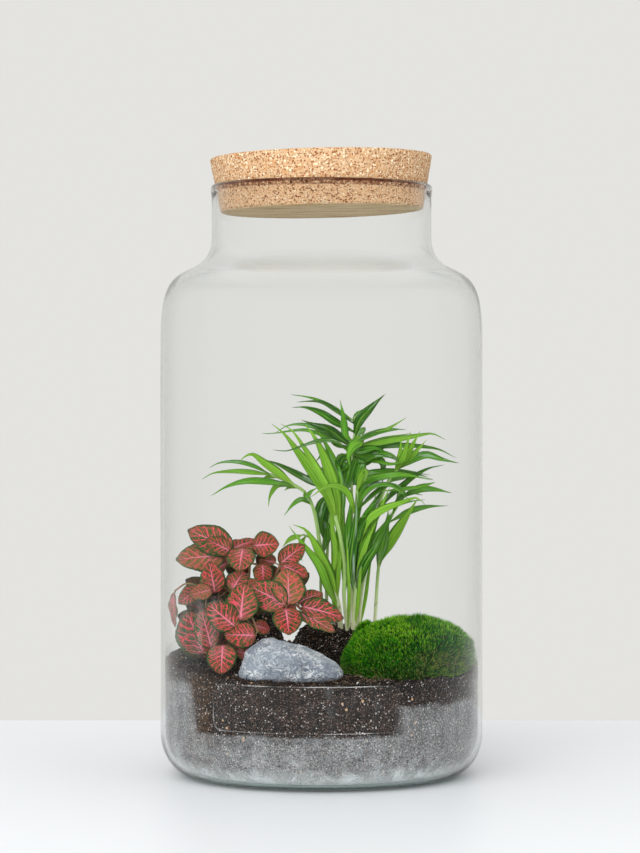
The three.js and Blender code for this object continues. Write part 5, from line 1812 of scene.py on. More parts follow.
# Places are those of seen(). Shoots and stems, but not all their blades and leaves, are in the part's source.
PALM: dict[str, Shoot] = {
    "palm_seedling_back": Shoot(root=(0.5, 28), thick=1, thin=0.6, tone=0.6, stem=[
        (-0.4, 101.7, 28), (-0.9, 123.5, 27), (-2.6, 130, 26), (-10.3, 134, 22),
    ], blades=[
        (1, 4.5, 50, [(-14.6, 132.6, 20), (-17.7, 131.2, 19), (-22, 127, 18)]),
        (0.97, 4.5, 40, [(-11.5, 128, 24), (-11, 119, 27)]),
    ]),
    "palm_frond_dark": Shoot(root=(3.3, 24), thick=1.1, thin=0.8, tone=0.2, stem=[
        (2.8, 105, 24), (3.7, 131.4, 25), (5.4, 147.6, 25), (7.6, 157.7, 26), (9.3, 164.4, 26),
    ], blades=[
        (0.9, 7.5, 25, [(2, 153, 23), (-1, 143, 22), (1.4, 130.2, 21)]),
        (0.9, 6, 20, [(5.5, 150, 29), (4.2, 140, 30), (3, 131, 30)]),
        (0.93, 5, 50, [(-2, 166.4, 27), (-9, 167, 29)]),
        (1, 4.5, 50, [(3, 170, 27), (-4, 171, 30)]),
        (0.96, 6, 50, [(-2, 162, 28), (-14.6, 168.2, 30), (-25.8, 173.9, 32), (-34, 176.2, 34)]),
        (1, 6, 45, [(18, 176, 32), (31, 181.5, 42), (42, 176, 52)]),
        (0.98, 6, 45, [(6, 176, 38), (2, 180, 52), (-4, 174, 64)]),
        (0.88, 4.5, 45, [(6.5, 162.7, 20), (-0.8, 167.2, 16), (-9.2, 167.2, 13)], 0.15),
        (0.9, 4.8, 45, [(6, 163, 30), (1, 168, 33), (-6, 170.5, 36)], 0.2),
        (0.86, 5, 35, [(12.6, 160, 30), (20, 164, 38), (28, 160, 46)], 0.3),
    ]),
    "palm_frond_left": Shoot(root=(10.7, 12), thick=1.7, thin=0.8, tone=0.68, stem=[
        (9.3, 95.5, 12), (5.2, 106, 12), (1.6, 117, 13), (-1, 129, 14), (-3, 142, 15), (-5, 149.6, 16),
        (-8.6, 157, 16), (-17.7, 163, 16), (-28.8, 167.8, 16),
    ], blades=[
        (0.86, 6, 40, [
            (-24, 168.5, 13), (-32, 174, 11), (-39, 178.9, 10), (-43.4, 177.3, 9), (-46.2, 174.5, 9),
        ]),
        (1, 5, 62, [(-40.8, 173.2, 20), (-50.2, 174.8, 23), (-58.3, 173.9, 25), (-63, 171.3, 26)]),
        (0.99, 5, 60, [(-40.8, 168.9, 13), (-52, 169.2, 10), (-61.4, 168.2, 8), (-66.7, 165, 7)]),
        (0.86, 6.5, 55, [(-32, 163.6, 8), (-42.7, 163.6, 3), (-53.3, 160.7, -1), (-61.7, 155.7, -3)]),
        (0.84, 5, 50, [(-24, 161.8, 17), (-28.6, 156, 19), (-29.9, 149.5, 20)]),
        (0.72, 4.5, 55, [(-10.9, 153.5, 12), (-16.5, 150.1, 8), (-20.8, 144.8, 6)]),
        (0.95, 3.6, 50, [(-30, 166.6, 18), (-33.3, 165, 21)]),
        (0.83, 3.6, 50, [(-18, 160.6, 20), (-20.8, 158.4, 23)]),
        (0.16, 7.5, 26, [
            (5.5, 107.5, 9), (0.5, 119.7, 6), (-4.5, 130.2, 3), (-9.5, 137, 1), (-16.1, 139.5, -1),
        ], 1.0),
        (0.15, 6, 30, [
            (3, 106, 6), (-1, 116, 2), (-8.3, 126, -1), (-14.4, 133.6, -3), (-18.3, 138.9, -4),
        ], 0.8),
        (0.25, 3.4, 30, [(8, 117, 17), (7, 131, 19), (6.6, 143, 21)], 0.85),
        (0.8, 4, 45, [(-8, 155.4, 10), (-5.3, 158.4, 6), (-1.9, 160.4, 4)], 0.7),
        (0.2, 3.2, 30, [(9.5, 112, 6), (10.5, 126, 4), (9.4, 139, 3)], 0.95),
        (0.3, 4, 25, [(8, 123, 8), (6.4, 135.3, 6), (4.9, 147.5, 5), (3.4, 156.6, 4)], 1.0),
        (0.45, 5, 20, [(3.4, 135.3, 22), (0.4, 144.5, 24), (-1.2, 153.6, 25)], 0.15),
        (0.04, 2.4, 30, [(6.5, 98, 20), (6, 118, 24), (5, 136, 26)], 0.95),
    ]),
    "palm_frond_upper_left": Shoot(root=(14.4, 4), thick=1.3, thin=1.1, tone=0.92, stem=[
        (12.6, 100.2, 3), (13.1, 116, 1), (11, 130.8, -1), (7.6, 144.8, -3),
    ], blades=[
        (0.98, 7.5, 35, [
            (3.6, 155.1, -5), (-5.4, 169.4, -7), (-14.6, 182, -9), (-20.8, 190.2, -10), (-28, 196, -11),
        ]),
        (0.98, 6, 45, [
            (5.6, 155, -8), (-1.6, 169, -12), (-10.6, 183.8, -14), (-17, 192.7, -15), (-23, 196, -15),
        ]),
        (0.86, 8, 25, [(8.6, 150, 3), (6, 164, 4), (-0.5, 182, 4), (-6, 191.5, 3), (-10.9, 197, 3)]),
        (0.86, 8, 25, [(10.4, 150, 5), (9, 165, 5.5), (5.5, 178, 7), (0.5, 188, 8), (-4, 193.5, 8)]),
        (0.55, 4.5, 25, [(11.4, 130.8, 4), (11.5, 142, 5), (12.6, 153.2, 5), (14.3, 161.6, 5)], 0.95),
        (0.5, 5, 25, [(14.9, 136.4, 2), (16, 147.6, 3), (17.1, 158.8, 3)], 0.5),
        (0.3, 4.2, 30, [(12.5, 117, 6), (9, 131, 8), (8.4, 146, 10)], 0.8),
        (0.8, 4, 35, [(-2.7, 170.3, -2), (-7.2, 176.4, -3), (-10.3, 182.4, -4)], 0.95),
        (0.04, 2.4, 30, [(15.5, 98, -1), (14.8, 118, -4), (13.8, 138, -7)], 1.0),
    ]),
    "palm_frond_tall": Shoot(root=(15.4, 17), thick=1.3, thin=0.6, tone=0.45, stem=[
        (15.6, 90, 17), (17.7, 106.7, 16), (17.2, 130.8, 15), (17, 153.2, 14), (17, 172.8, 13),
        (17.7, 184, 12), (19, 194.6, 12), (18.6, 200.2, 12),
    ], blades=[
        (0.975, 4, 58, [(7.3, 204.5, 15), (-2, 209.2, 18), (-9.5, 211.3, 20), (-17, 212.3, 22)]),
        (0.962, 4, 55, [(8.2, 203.2, 9), (-0.2, 208, 6), (-8.3, 208.6, 4), (-13.7, 208, 3)]),
        (0.928, 5.5, 38, [(7.6, 197, 8), (-0.2, 201.9, 4), (-8.9, 205.1, 1), (-16.5, 205.1, -1)]),
        (0.856, 6.5, 38, [(9.3, 189, 15), (4.2, 192.6, 17), (-5.2, 195.8, 19), (-11.4, 198.2, 20)]),
        (0.884, 5, 35, [(13.6, 189.6, 8), (12, 200.8, 4), (10.4, 209.5, 2)]),
        (0.9, 6.4, 32, [(21, 197, 9), (27.4, 204.5, 5), (33.6, 210.7, 2), (35.8, 212.6, 1)]),
        (0.945, 4, 30, [(20, 201.4, 14), (23.3, 204.2, 16)]),
        (0.876, 4.5, 60, [(28.3, 189.6, 16), (37.3, 193.2, 20), (47.6, 199.5, 24)]),
        (0.892, 4.5, 60, [(28.6, 190.7, 22), (38.4, 193, 32), (47.4, 192.7, 40)]),
        (0.848, 5.5, 52, [
            (30, 184.8, 11), (44, 187.4, 9), (54.9, 189.5, 8), (62.4, 190.4, 7), (69.5, 187, 6),
        ]),
        (0.832, 5, 55, [
            (30, 182.5, 16), (46, 183.8, 19), (59, 182.9, 21), (66.7, 181.4, 22), (75.5, 177, 23),
        ]),
        (0.862, 4, 55, [(28.6, 185.6, 18), (37.3, 188.2, 26), (50, 190.7, 34)]),
        (0.84, 4, 60, [
            (4.2, 187.9, 18), (-8.3, 192.3, 24), (-16.5, 192.1, 28), (-25.8, 190.8, 31),
            (-33.3, 190.4, 33),
        ]),
        (0.87, 4.2, 50, [(5, 190.6, 22), (-10.5, 195.6, 32), (-20, 194.6, 38), (-25.4, 191, 41)]),
        (0.824, 4.2, 55, [
            (8, 186, 1), (-0.2, 186.4, -11), (-8.3, 184.4, -20), (-19.6, 180.8, -22), (-27.1, 181.4, -21),
        ]),
        (0.91, 6.5, 16, [(21.5, 186.4, 6), (17.6, 183.6, 0), (15, 177.6, -1), (16.4, 171.7, 1)], 0.75),
        (0.8, 7.5, 15, [(12.5, 177, 12.5), (9.4, 169, 13.5), (10, 161, 14)]),
        (0.785, 7, 20, [(15.6, 173, 9), (13.6, 164.5, 8.5), (13.8, 157.5, 9.5)]),
        (0.815, 5, 45, [(20, 189, 30), (24, 193, 44), (22, 187, 58)]),
        (0.86, 6, 40, [(10.4, 187.9, 19), (2, 190.7, 24), (-3.6, 192.4, 27)], 0.45),
        (0.8, 5.5, 20, [(19.4, 175.6, 8), (17.1, 167.2, 5), (14.9, 158.8, 4)], 0.2),
        (0.79, 5.5, 25, [(22.7, 173.4, 4), (19.9, 166.6, 0), (18.2, 161.6, -2)], 0.35),
        (0.83, 6, 45, [(27.2, 177.8, 8), (35.6, 179, 4), (41.2, 177.3, 1), (44, 172.8, 0)], 0.45),
        (0.84, 5.5, 40, [(23.8, 181.2, 6), (30.6, 182.3, 2), (35.6, 180, 0)], 0.3),
        (0.85, 5.5, 50, [(30, 181, 14), (38.4, 185.7, 18), (46, 185.1, 21)], 0.3),
        (0.8, 5.5, 25, [(31.7, 176.2, 20), (34.5, 173.4, 22), (33.9, 167.8, 23), (34.5, 161, 24)], 0.15),
        (0.78, 4.2, 45, [(23.8, 173.4, 14), (29, 176, 20), (36, 176.5, 26)], 0.6),
        (0.8, 3.6, 50, [(23.1, 174.8, 6), (30.7, 177.9, 0), (38.3, 177.1, -4), (43.6, 174.8, -6)], 0.15),
        (0.78, 3.6, 55, [(21.6, 167.2, 9), (32.2, 169.5, 12), (47.4, 169.5, 15), (61.1, 167.2, 17)], 0.3),
        (0.76, 3.6, 55, [(23.1, 162.7, 18), (35.3, 165.7, 24), (49, 166.5, 28), (62.6, 165, 31)], 0.2),
        (0.79, 3.4, 40, [(20, 162, 3), (23.1, 165, -1), (29.2, 167.2, -4)], 0.1),
        (0.8, 4, 35, [(11, 170.3, 7), (8, 174.8, 4), (9.5, 179.4, 2)], 0.2),
        (0.83, 3.4, 55, [
            (29.2, 182.4, 20), (38.3, 184.7, 26), (47.4, 183.2, 30), (59.6, 182.4, 34),
        ], 0.45),
        (0.81, 3.6, 50, [(32.2, 174.8, 4), (38.3, 173.3, 0), (45.9, 174.8, -4), (52, 177.9, -7)], 0.7),
        (0.88, 3.2, 55, [(23.1, 187.7, 6), (32.3, 190.8, 2), (44.4, 193, -2)], 0.3),
        (0.86, 3.4, 50, [(8.7, 183.9, 18), (3.4, 188.5, 24), (-2.7, 191.5, 28)], 0.25),
    ]),
    "palm_frond_front": Shoot(root=(18.3, 5.5), thick=2, thin=0.9, tone=0.7, stem=[
        (18.8, 97.2, 5), (19.2, 108.4, 4), (19.9, 122, 2), (19.8, 136.4, 0), (19.6, 150.4, -1),
        (20, 160, -1),
    ], blades=[
        (0.3, 7, 25, [(16.6, 117, -1), (18.4, 133.6, -4), (19.6, 147.6, -6), (19.4, 158, -6)]),
        (0.32, 7, 25, [(22.7, 119.6, 0), (25, 130.8, -2), (27.4, 142, -3), (30.8, 158, -3)]),
        (0.3, 6, 30, [(24.4, 117.5, -4), (30.4, 126.9, -7), (35.4, 136.4, -9), (40.4, 145.6, -10)]),
        (0.58, 6.5, 42, [
            (25, 140.7, -6), (33.6, 147.6, -11), (43.6, 151.4, -15), (53.6, 154.5, -18), (58, 150.4, -19),
        ]),
        (0.85, 5, 50, [
            (23.6, 155.7, -4), (28.6, 160.7, -7), (36, 162, -9), (42.3, 159.5, -11), (47.9, 153.9, -12),
        ]),
        (0.98, 5.5, 52, [
            (24, 163.6, -2), (32.4, 165.9, -4), (43.6, 167.6, -6), (53, 166.4, -7), (62.4, 164.5, -8),
        ]),
        (0.98, 5.5, 40, [(22, 166, -12), (25, 169, -26), (24, 163, -40)]),
        (0.8, 5, 40, [(14, 158, -12), (4, 161, -24), (-6, 155, -36)]),
        (0.9, 4.5, 45, [(22.7, 166, 2), (35.6, 169.7, 5), (46.2, 170, 8), (54.1, 168.9, 10)], 0.35),
        (0.88, 3.5, 40, [(23.8, 161, -3), (30.6, 165, -8), (38, 166, -12)], 0.5),
        (0.72, 5, 30, [(25, 143.6, 3), (29, 150, 5), (33, 157, 7), (36.2, 161, 8)], 0.3),
        (0.68, 3.5, 30, [(26, 137, -3), (30.6, 143.1, -5), (36.2, 156, -8), (38.4, 161, -9)], 0.95),
        (0.72, 5, 35, [(25, 144.2, -2), (27.2, 148.7, -4), (30.5, 154.2, -6)], 0.5),
        (0.45, 5, 25, [(19.4, 127, 4), (19.6, 142, 8), (22.7, 153.2, 10), (23.8, 160.5, 11)], 0.6),
        (0.35, 4, 25, [(23.8, 125.2, -4), (28.3, 136.4, -6), (32.8, 144.8, -8)], 0.95),
        (0.28, 7.5, 20, [(19.4, 116, 1), (21.6, 125.2, -1), (26, 133.6, -3), (27.6, 141, -4)], 0.65),
        (0.85, 3.8, 45, [
            (29.2, 156.6, -4), (38.3, 161.9, -8), (45.2, 159.6, -11), (48.2, 153.6, -13),
        ], 0.25),
        (0.8, 3.4, 45, [(38.3, 149, -6), (47.4, 152, -10), (58, 153.6, -14)], 0.6),
        (0.5, 3.6, 25, [(23.1, 116, 8), (21.6, 126.2, 11), (23.1, 135.3, 12), (26.9, 141.4, 13)], 1.0),
        (0.5, 4, 20, [(17, 120.1, 6), (14.8, 129.3, 8), (14, 138.4, 9), (15.5, 147.5, 10)], 0.15),
        (0.6, 4.4, 30, [(26.2, 123.2, 4), (30.7, 132.3, 6), (36.8, 141.4, 7), (41.4, 149, 8)], 0.6),
        (0.65, 4.2, 25, [(20.1, 129.3, -3), (23.1, 138.4, -5), (29.2, 149, -7), (32.3, 155.1, -8)], 0.2),
        (0.04, 2.4, 30, [(20.6, 98, 1), (22, 116, -2), (24.6, 134, -5)], 1.0),
    ]),
    "palm_frond_right": Shoot(root=(21.2, 11), thick=1.2, thin=0.9, tone=0.6, stem=[
        (22.3, 100.2, 10.5), (25.1, 116, 9.5), (28.4, 136.4, 8), (32.2, 150.4, 7.5), (37, 163, 7),
        (42.9, 171, 6),
    ], blades=[
        (1, 6.5, 48, [
            (47.4, 173.4, 9), (53.5, 177, 11), (59.1, 178.5, 12), (66.7, 176.3, 12), (77.4, 173.9, 12),
        ]),
        (0.72, 5, 50, [
            (38, 155, 10), (45, 161, 15), (53.5, 167.6, 18), (61, 171.3, 20), (69.2, 173, 21),
        ]),
        (0.98, 4.6, 35, [(47.5, 177.5, 1), (51.5, 185, -2), (55.2, 192, -4)], 1.0),
        (0.98, 4.2, 35, [(46, 178, -4), (48, 185, -8), (50.2, 192, -11)], 0.95),
        (0.97, 3.8, 35, [(44, 178, 1), (44.4, 184, -1), (44.8, 188.9, -2)], 0.9),
        (1, 4.2, 35, [(50, 177.5, 2), (54.8, 182.4, 2), (58.9, 187, 2)], 1.0),
        (0.5, 5, 30, [(29.4, 141, 5), (33, 150, 3), (38, 158, 1)], 0.75),
        (0.9, 5, 45, [(44, 166, 14), (52, 168, 20), (60, 166, 25)], 0.45),
        (0.85, 3.2, 45, [(47.4, 159.6, 4), (58, 161.2, 2), (64.2, 163.4, 0)], 0.7),
        (0.04, 2.4, 30, [(24.6, 98, 13), (27, 116, 15), (30.4, 134, 17)], 0.9),
    ]),
    "palm_frond_outer_right": Shoot(root=(30.2, 22), thick=1.1, thin=0.8, tone=0.72, stem=[
        (30.6, 95.5, 22), (31.7, 112.3, 22), (33, 122.5, 22), (36.2, 136.4, 21.5), (39.9, 145.7, 21),
        (46.2, 155.4, 21),
    ], blades=[
        (0.98, 4, 45, [(51, 158.4, 25), (56, 161.2, 28), (63.6, 163.3, 31)]),
        (1, 5.5, 52, [(56.1, 159.1, 18), (63.6, 159.1, 16), (73.3, 157.3, 14)]),
        (0.8, 5, 50, [(49.9, 147, 26), (59.1, 149.5, 31), (71.1, 150.1, 36)]),
        (0.52, 7, 24, [(38, 129, 18), (41.6, 135, 15), (48.8, 146, 11), (54.4, 154.8, 9)], 1.0),
        (0.5, 6.5, 25, [(35, 131, 18), (36.6, 140, 16.5), (37.6, 148.5, 16)]),
        (0.9, 5, 45, [(45, 158, 33), (46, 162, 46), (42, 157, 58)]),
        (0.45, 5, 25, [(33.4, 126, 24), (35.2, 137, 26), (39, 147, 28)], 0.85),
        (0.85, 4, 45, [(44, 154, 17), (50, 157, 13), (57, 156, 9)], 0.5),
    ]),
}

FITTONIA: dict[str, LeafyStem] = {
    "fittonia_top_left": LeafyStem(root=(-43, -15), stem=[
        (-45.5, 106, -17), (-50, 124.5, -22),
    ], leaves=[
        (1, (-50.6, 125.6, -22), (-74.2, 137, -25), 17, 20),
        (1, (-50.8, 124.4, -24), (-63.8, 131.4, -34), 10.5, 22),
        (0.97, (-55, 122, -24), (-80.8, 120.6, -28), 17.5, 24),
        (1, (-49.5, 126, -18), (-34.6, 132.2, -3), 12, 55),
        (0.9, (-53, 117.6, -20), (-61.5, 113.6, -10), 12, 40),
    ]),
    "fittonia_top": LeafyStem(root=(-40, -8), stem=[
        (-40.5, 110, -11), (-39, 127, -17),
    ], leaves=[
        (1, (-38, 127.6, -17), (-23.8, 129, -19), 15, 20),
        (1, (-44, 126.4, -24), (-46, 113.8, -33), 16, 8),
        (0.78, (-33, 117, -22), (-32.6, 105.8, -27), 11.5, 18),
        (0.7, (-45, 118, -4), (-58.5, 123, 9), 15, 45),
        (0.92, (-38, 124, -6), (-29, 127, 12), 15, 40),
        (0.45, (-36, 103, 2), (-30, 98, 18), 15, 35),
    ], shade=[
        (0.6, (-42, 112, 2), (-54, 120, 5), 13, 25),
        (0.8, (-36, 118, -2), (-26, 121, 2), 11, 40),
    ]),
    "fittonia_right_top": LeafyStem(root=(-33, -6), stem=[
        (-29, 103, -7), (-23, 117.5, -13),
    ], leaves=[
        (1, (-22.8, 117.6, -13.5), (-9.6, 128.6, -11), 12.5, 22),
        (1, (-21.8, 116.2, -15), (-8, 110.8, -25), 12.5, 48),
        (0.98, (-26, 118.2, -13), (-35, 120.4, -8), 8.5, 35),
        (0.6, (-24, 107, 2), (-12, 108, 16), 15, 45),
        (0.35, (-22, 94, 6), (-13, 88.5, 14), 13, 40),
    ], shade=[
        (0.7, (-24, 108, 4), (-35, 115, 6), 12, 20),
        (0.8, (-18, 106, 2), (-7, 113, 6), 11, 30),
    ]),
    "fittonia_centre": LeafyStem(root=(-34, -17), stem=[
        (-31, 101.5, -22), (-24.5, 99, -30), (-19.4, 95, -37),
    ], leaves=[
        (1, (-18.6, 95.2, -37), (-18.6, 115.4, -31), 19, 14),
        (1, (-20.4, 94.8, -38), (-40.2, 105.4, -36), 18, 15),
        (1, (-20, 92.6, -39), (-18, 78.2, -48), 16.5, 12),
    ], shade=[
        (0.6, (-30, 98, -14), (-22, 106, -10), 11, 30),
        (0.5, (-34, 94, -16), (-46, 98, -14), 13, 20),
    ]),
    "fittonia_right": LeafyStem(root=(-30, -11), stem=[
        (-24, 100, -14), (-16.6, 97, -21), (-11.5, 92, -28),
    ], leaves=[
        (1, (-10.8, 93.4, -28), (13, 88, -22), 15.5, 38),
        (0.97, (-13, 95.8, -24), (1, 102.2, -11), 11, 35),
        (1, (-12, 89.6, -30), (8, 80.2, -35), 12.5, 52),
    ]),
    "fittonia_front": LeafyStem(root=(-40, -20), stem=[
        (-42, 100, -30), (-44.4, 94, -42), (-45.4, 86.4, -49),
    ], leaves=[
        (1, (-45, 86.2, -49.5), (-43.2, 107, -46.5), 18.5, 12),
        (1, (-48.4, 82.6, -50), (-63.4, 95.2, -50.5), 16, 14),
        (0.9, (-37.5, 83, -40), (-28.4, 80.6, -37), 9, 30),
    ], shade=[
        (0.5, (-44, 88, -14), (-52, 104, -12), 14, 10),
        (0.4, (-46, 84, -10), (-60, 88, -8), 14, 20),
        (0.6, (-40, 90, -20), (-32, 98, -22), 11, 25),
    ], trailing=(
        0.72, [(-39, 88, -42), (-35.6, 80, -46)], ((-37.2, 77.4, -48), (-54, 78, -52), 15, 18),
    )),
    "fittonia_left": LeafyStem(root=(-47, -10), stem=[
        (-52, 103, -15), (-60, 104.6, -23), (-67, 104.4, -28),
    ], leaves=[
        (0.8, (-59.6, 101.6, -30), (-62.4, 118.4, -37), 14, 12),
        (0.85, (-61.5, 103, -35), (-73.4, 100, -39), 10, 25),
        (1, (-68, 103.8, -29), (-79.4, 95.6, -32), 11, 28),
        (0.6, (-60, 102, -8), (-73.5, 106, 4), 16, 45),
        (0.4, (-54, 94, 0), (-64, 88, 14), 15, 40),
    ], shade=[
        (0.5, (-60, 99, 2), (-76, 109, 0), 13, 15),
        (0.7, (-58, 90, 6), (-76, 95, 2), 15, 20),
        (0.9, (-66, 84, -8), (-80, 89, -14), 12, 25),
        (0.3, (-52, 98, 6), (-66, 112, 10), 13, 20),
    ], trailing=(
        1, [(-75, 106.6, -22), (-81.6, 102.6, -15)], ((-82.2, 100.6, -14), (-82.8, 82, -12), 11, 60),
    )),
    "fittonia_middle": LeafyStem(root=(-37, -12.5), stem=[
        (-42, 101, -17), (-50, 103.2, -31),
    ], leaves=[
        (1, (-49.8, 103, -30), (-43.2, 114.2, -22.5), 12.5, 14),
        (0.85, (-42, 103, -27), (-34.4, 107.4, -30), 9.5, 25),
    ]),
    "fittonia_low": LeafyStem(root=(-57, -36), stem=[
        (-59.6, 66, -37), (-62, 69, -40),
    ], leaves=[
        (1, (-66, 67.8, -36), (-74.6, 91, -33), 22, 16),
        (1, (-61.6, 71, -42.5), (-66.8, 92, -41), 14, 18),
        (1, (-54.8, 72, -57), (-56, 55.8, -62), 16.5, 10),
        (0.8, (-47, 68.6, -38), (-38.6, 66, -37), 9, 30),
        (0.7, (-64, 66, -22), (-76, 74, -12), 15, 40),
    ], shade=[
        (0.5, (-54, 70, -28), (-62, 82, -24), 14, 15),
        (0.6, (-50, 66, -34), (-44, 78, -30), 12, 15),
        (0.8, (-66, 66, -30), (-78, 76, -26), 12, 25),
    ]),
}


def rooted(root: Spot, stem: list[Place]) -> Course:
    """The curve of a stem that stands in the soil and then passes the places where it is seen.

    Args:
        root: Where it stands.
        stem: The places that it passes.

    Returns:
        The curve.
    """
    ground = float(GROUND.height(*root))
    low, collar = (np.array([*root, ground + rise]) for rise in (-ROOT_DEPTH, COLLAR_HEIGHT))
    return Course([low, collar, *map(seen, stem)])


@dataclass
class Palm:
    """The clump of parlour palm, in millimetres."""

    blade_stations: int = 18
    blade_columns: int = 5
    blade_scale: float = 0.98
    thickness: float = 0.42
    stem_steps: int = 34
    tone_spread: float = 0.26
    twist_spread: float = 12
    seed: int = 3

    def build(self) -> None:
        """Builds and dresses each frond with its stem."""
        material = PalmFinish().make()
        pick = np.random.default_rng(self.seed)
        for node, shoot in PALM.items():
            skin = Skin()
            maker = LeafMaker(skin, self.blade_stations, self.blade_columns, self.thickness)
            course = rooted(shoot.root, shoot.stem)
            maker.stem(course, shoot.thick, shoot.thin, self.stem_steps, shoot.tone)
            for at, width, turn, places, *light in shoot.blades:
                points = [course.at(min(at, 0.995))[0], *map(seen, places)]
                tone = light[0] if light else np.clip(shoot.tone + pick.normal(0, self.tone_spread), 0, 1)
                twist = pick.normal(0, self.twist_spread)
                maker.blade(Course(points), width * self.blade_scale, turn, float(tone), twist)
            dress(skin.build(node.replace("palm_", "palm_leaves_"), material), Slot.PALM, None, node)


@dataclass
class NervePlant:
    """The nerve plant, in millimetres."""

    leaf_stations: int = 23
    leaf_columns: int = 13
    leaf_scale: float = 1.03
    thickness: float = 0.45
    stem: float = 0.9
    stem_tone: float = 0.4
    shade_tone: float = -1.0
    petiole: float = 0.55
    petiole_end: float = 0.32
    seed: int = 4

    def leaf(self, maker: LeafMaker, start: Array, leaf: tuple | list, tone: float) -> None:
        """Adds a leaf with its stalk.

        Args:
            maker: What adds it.
            start: Where its stalk leaves the stem.
            leaf: The places of its foot and its tip, its width and its turn.
            tone: How light it is.
        """
        foot, tip, width, turn = leaf
        foot, tip = seen(foot), seen(tip)
        maker.oval(foot, tip, width * self.leaf_scale, turn, tone)
        ahead = foot + unit(tip - foot) * 1.6
        middle = (start + foot) / 2 - [0, 0, 0.06 * float(np.linalg.norm(foot - start))]
        if np.linalg.norm(foot - start) < 0.6:
            start = foot - unit(tip - foot)
            middle = (start + foot) / 2
        course = Course([start, middle, foot, ahead])
        maker.stem(course, self.petiole, self.petiole_end, steps=8, tone=tone, sides=6, foot=0.3)

    def build(self) -> None:
        """Builds and dresses each leafy stem."""
        material = FittoniaFinish().make()
        pick = np.random.default_rng(self.seed)
        for node, plant in FITTONIA.items():
            skin = Skin()
            maker = LeafMaker(skin, self.leaf_stations, self.leaf_columns, self.thickness)
            course = rooted(plant.root, plant.stem)
            maker.stem(course, self.stem, self.stem * 0.75, steps=22, tone=self.stem_tone)
            for at, *leaf in plant.leaves:
                self.leaf(maker, course.at(min(at, 0.99))[0], leaf, float(pick.uniform(0, 1)))
            for at, *leaf in plant.shade:
                self.leaf(maker, course.at(min(at, 0.99))[0], leaf, self.shade_tone)
            if plant.trailing:
                at, places, leaf = plant.trailing
                branch = Course([course.at(min(at, 0.99))[0], *map(seen, places)])
                maker.stem(branch, self.petiole, self.petiole * 0.9, steps=9, tone=self.stem_tone)
                self.leaf(maker, branch.at(0.99)[0], leaf, float(pick.uniform(0, 1)))
            dress(skin.build(node + "_leaves", material), Slot.FITTONIA, None, node)


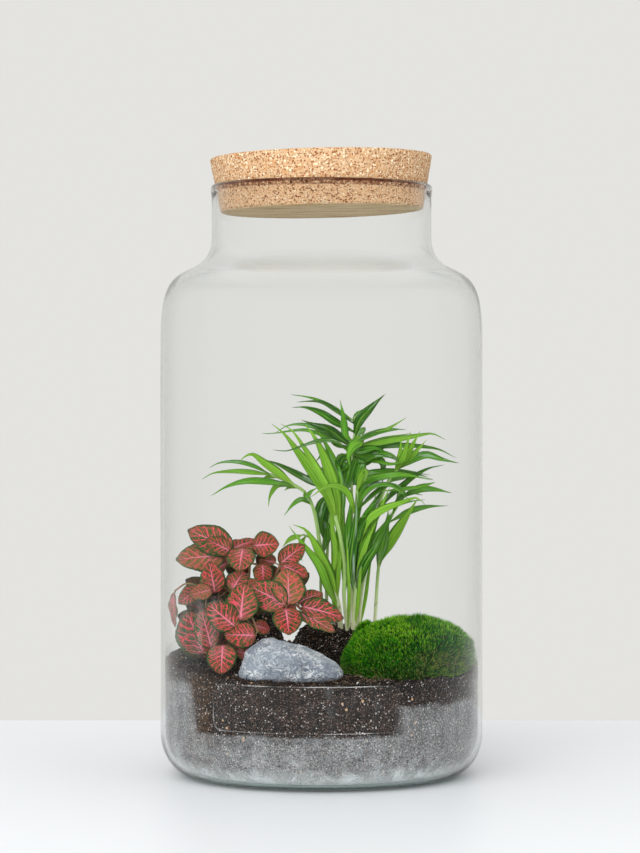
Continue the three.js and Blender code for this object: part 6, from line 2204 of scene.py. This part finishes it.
@dataclass
class Studio:
    """Table, light and camera."""

    back_edge: float = 0.259
    table_size: Place = (2.6, 1.3, 0.03)
    wall: Color = (0.775, 0.770, 0.742)
    dim_side: Color = (0.50, 0.50, 0.49)
    ceiling: Color = (0.95, 0.96, 0.97)
    overhead: float = 46.0
    front: float = 74.0
    fill: float = 15.0

    def table(self) -> None:
        """Lays the table top, whose back edge shows behind the jar."""
        deselect()
        width, depth, height = self.table_size
        middle = (0, self.back_edge - depth / 2, -height / 2)
        bpy.ops.mesh.primitive_cube_add(size=1, location=middle, scale=self.table_size)
        top = named("table")
        bpy.ops.object.transform_apply(location=True, rotation=True, scale=True)
        bevel = top.modifiers.new("edge", "BEVEL")
        bevel.width = 0.0015
        bevel.segments = 3
        bpy.ops.object.modifier_apply(modifier="edge")
        top.data.materials.append(TableFinish().make())
        top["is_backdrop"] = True

    def lamp(self, name: str, place: Place, aim: Place, size: float, watts: float, color: Color) -> None:
        """Hangs a soft square lamp.

        Args:
            name: Its name.
            place: Where it hangs.
            aim: What it shines at.
            size: Its side.
            watts: Its power.
            color: Its colour.
        """
        data = bpy.data.lights.new(name, "AREA")
        data.size = size
        data.energy = watts
        data.color = color
        lamp = bpy.data.objects.new(name, data)
        lamp.visible_camera = False
        lamp.visible_glossy = False
        lamp.visible_transmission = False
        lamp.location = place
        lamp.rotation_euler = (Vector(aim) - Vector(place)).to_track_quat("-Z", "Y").to_euler()
        bpy.context.scene.collection.objects.link(lamp)

    def sky(self) -> None:
        """Paints the pale room: the wall behind, a lighter ceiling and a dimmer side behind the camera."""
        g = Graph("room", world=True)
        x, y, z = g.axes(g.node("TexCoord").outputs["Generated"])
        color = g.mix(self.dim_side, self.wall, y.step(-0.55, 0.35))
        color = g.mix(color, self.dim_side, abs(x).step(0.80, 0.97))
        color = g.mix(color, self.ceiling, z.step(0.35, 0.9))
        shade = g.node("Background", None, {"Color": color}).outputs[0]
        g.node("OutputWorld", None, {"Surface": shade})
        bpy.context.scene.world = g.block

    def camera(self) -> None:
        """Stands the camera where the photograph was taken from."""
        data = bpy.data.cameras.new("camera")
        data.sensor_width = 36
        data.lens = FOCAL_PIXELS / PHOTO_HEIGHT * data.sensor_width
        data.shift_x = -(JAR_AXIS_PIXEL - PHOTO_WIDTH / 2) / PHOTO_HEIGHT
        data.clip_start = 0.05
        data.clip_end = 50
        camera = bpy.data.objects.new("camera", data)
        camera.location = (0, -EYE_DISTANCE * MM, EYE_HEIGHT * MM)
        camera.rotation_euler = (math.radians(90 + EYE_TILT), 0, 0)
        bpy.context.scene.collection.objects.link(camera)
        bpy.context.scene.camera = camera

    def build(self) -> None:
        """Sets up the whole studio."""
        view = bpy.context.scene.view_settings
        view.view_transform = "Standard"
        view.look = "None"
        self.camera()
        self.table()
        self.sky()
        lamps = (
            ("overhead_lamp", (-0.7, -2.2, 2.3), (0, -0.05, 0.08), 2.6, self.overhead, (1.0, 0.99, 0.97)),
            ("front_lamp", (-0.8, -3.5, 0.85), (0, 0, 0.12), 2.2, self.front, (1.0, 0.99, 0.98)),
            ("left_fill", (-1.6, -1.3, 0.42), (0, 0, 0), 1.3, self.fill, (0.99, 1.0, 1.0)),
            ("right_fill", (1.6, -1.3, 0.42), (0, 0, 0), 1.3, self.fill, (0.99, 1.0, 1.0)),
        )
        for name, place, aim, size, watts, color in lamps:
            self.lamp(name, place, aim, size, watts, color)


def corners() -> list[list[float]]:
    """The object's lowest and highest corners as plain lists."""
    return [[round(float(value), 6) for value in corner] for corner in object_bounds()]


def main() -> None:
    """Builds the pieces in order."""
    logging.basicConfig(level=logging.INFO, format="%(name)s %(message)s")
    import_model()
    Studio().build()
    for piece in (Jar(), Soil(), Stone(), Moss(), Palm(), NervePlant()):
        log.info("building %s", type(piece).__name__)
        piece.build()


if __name__ == "__main__":
    main()
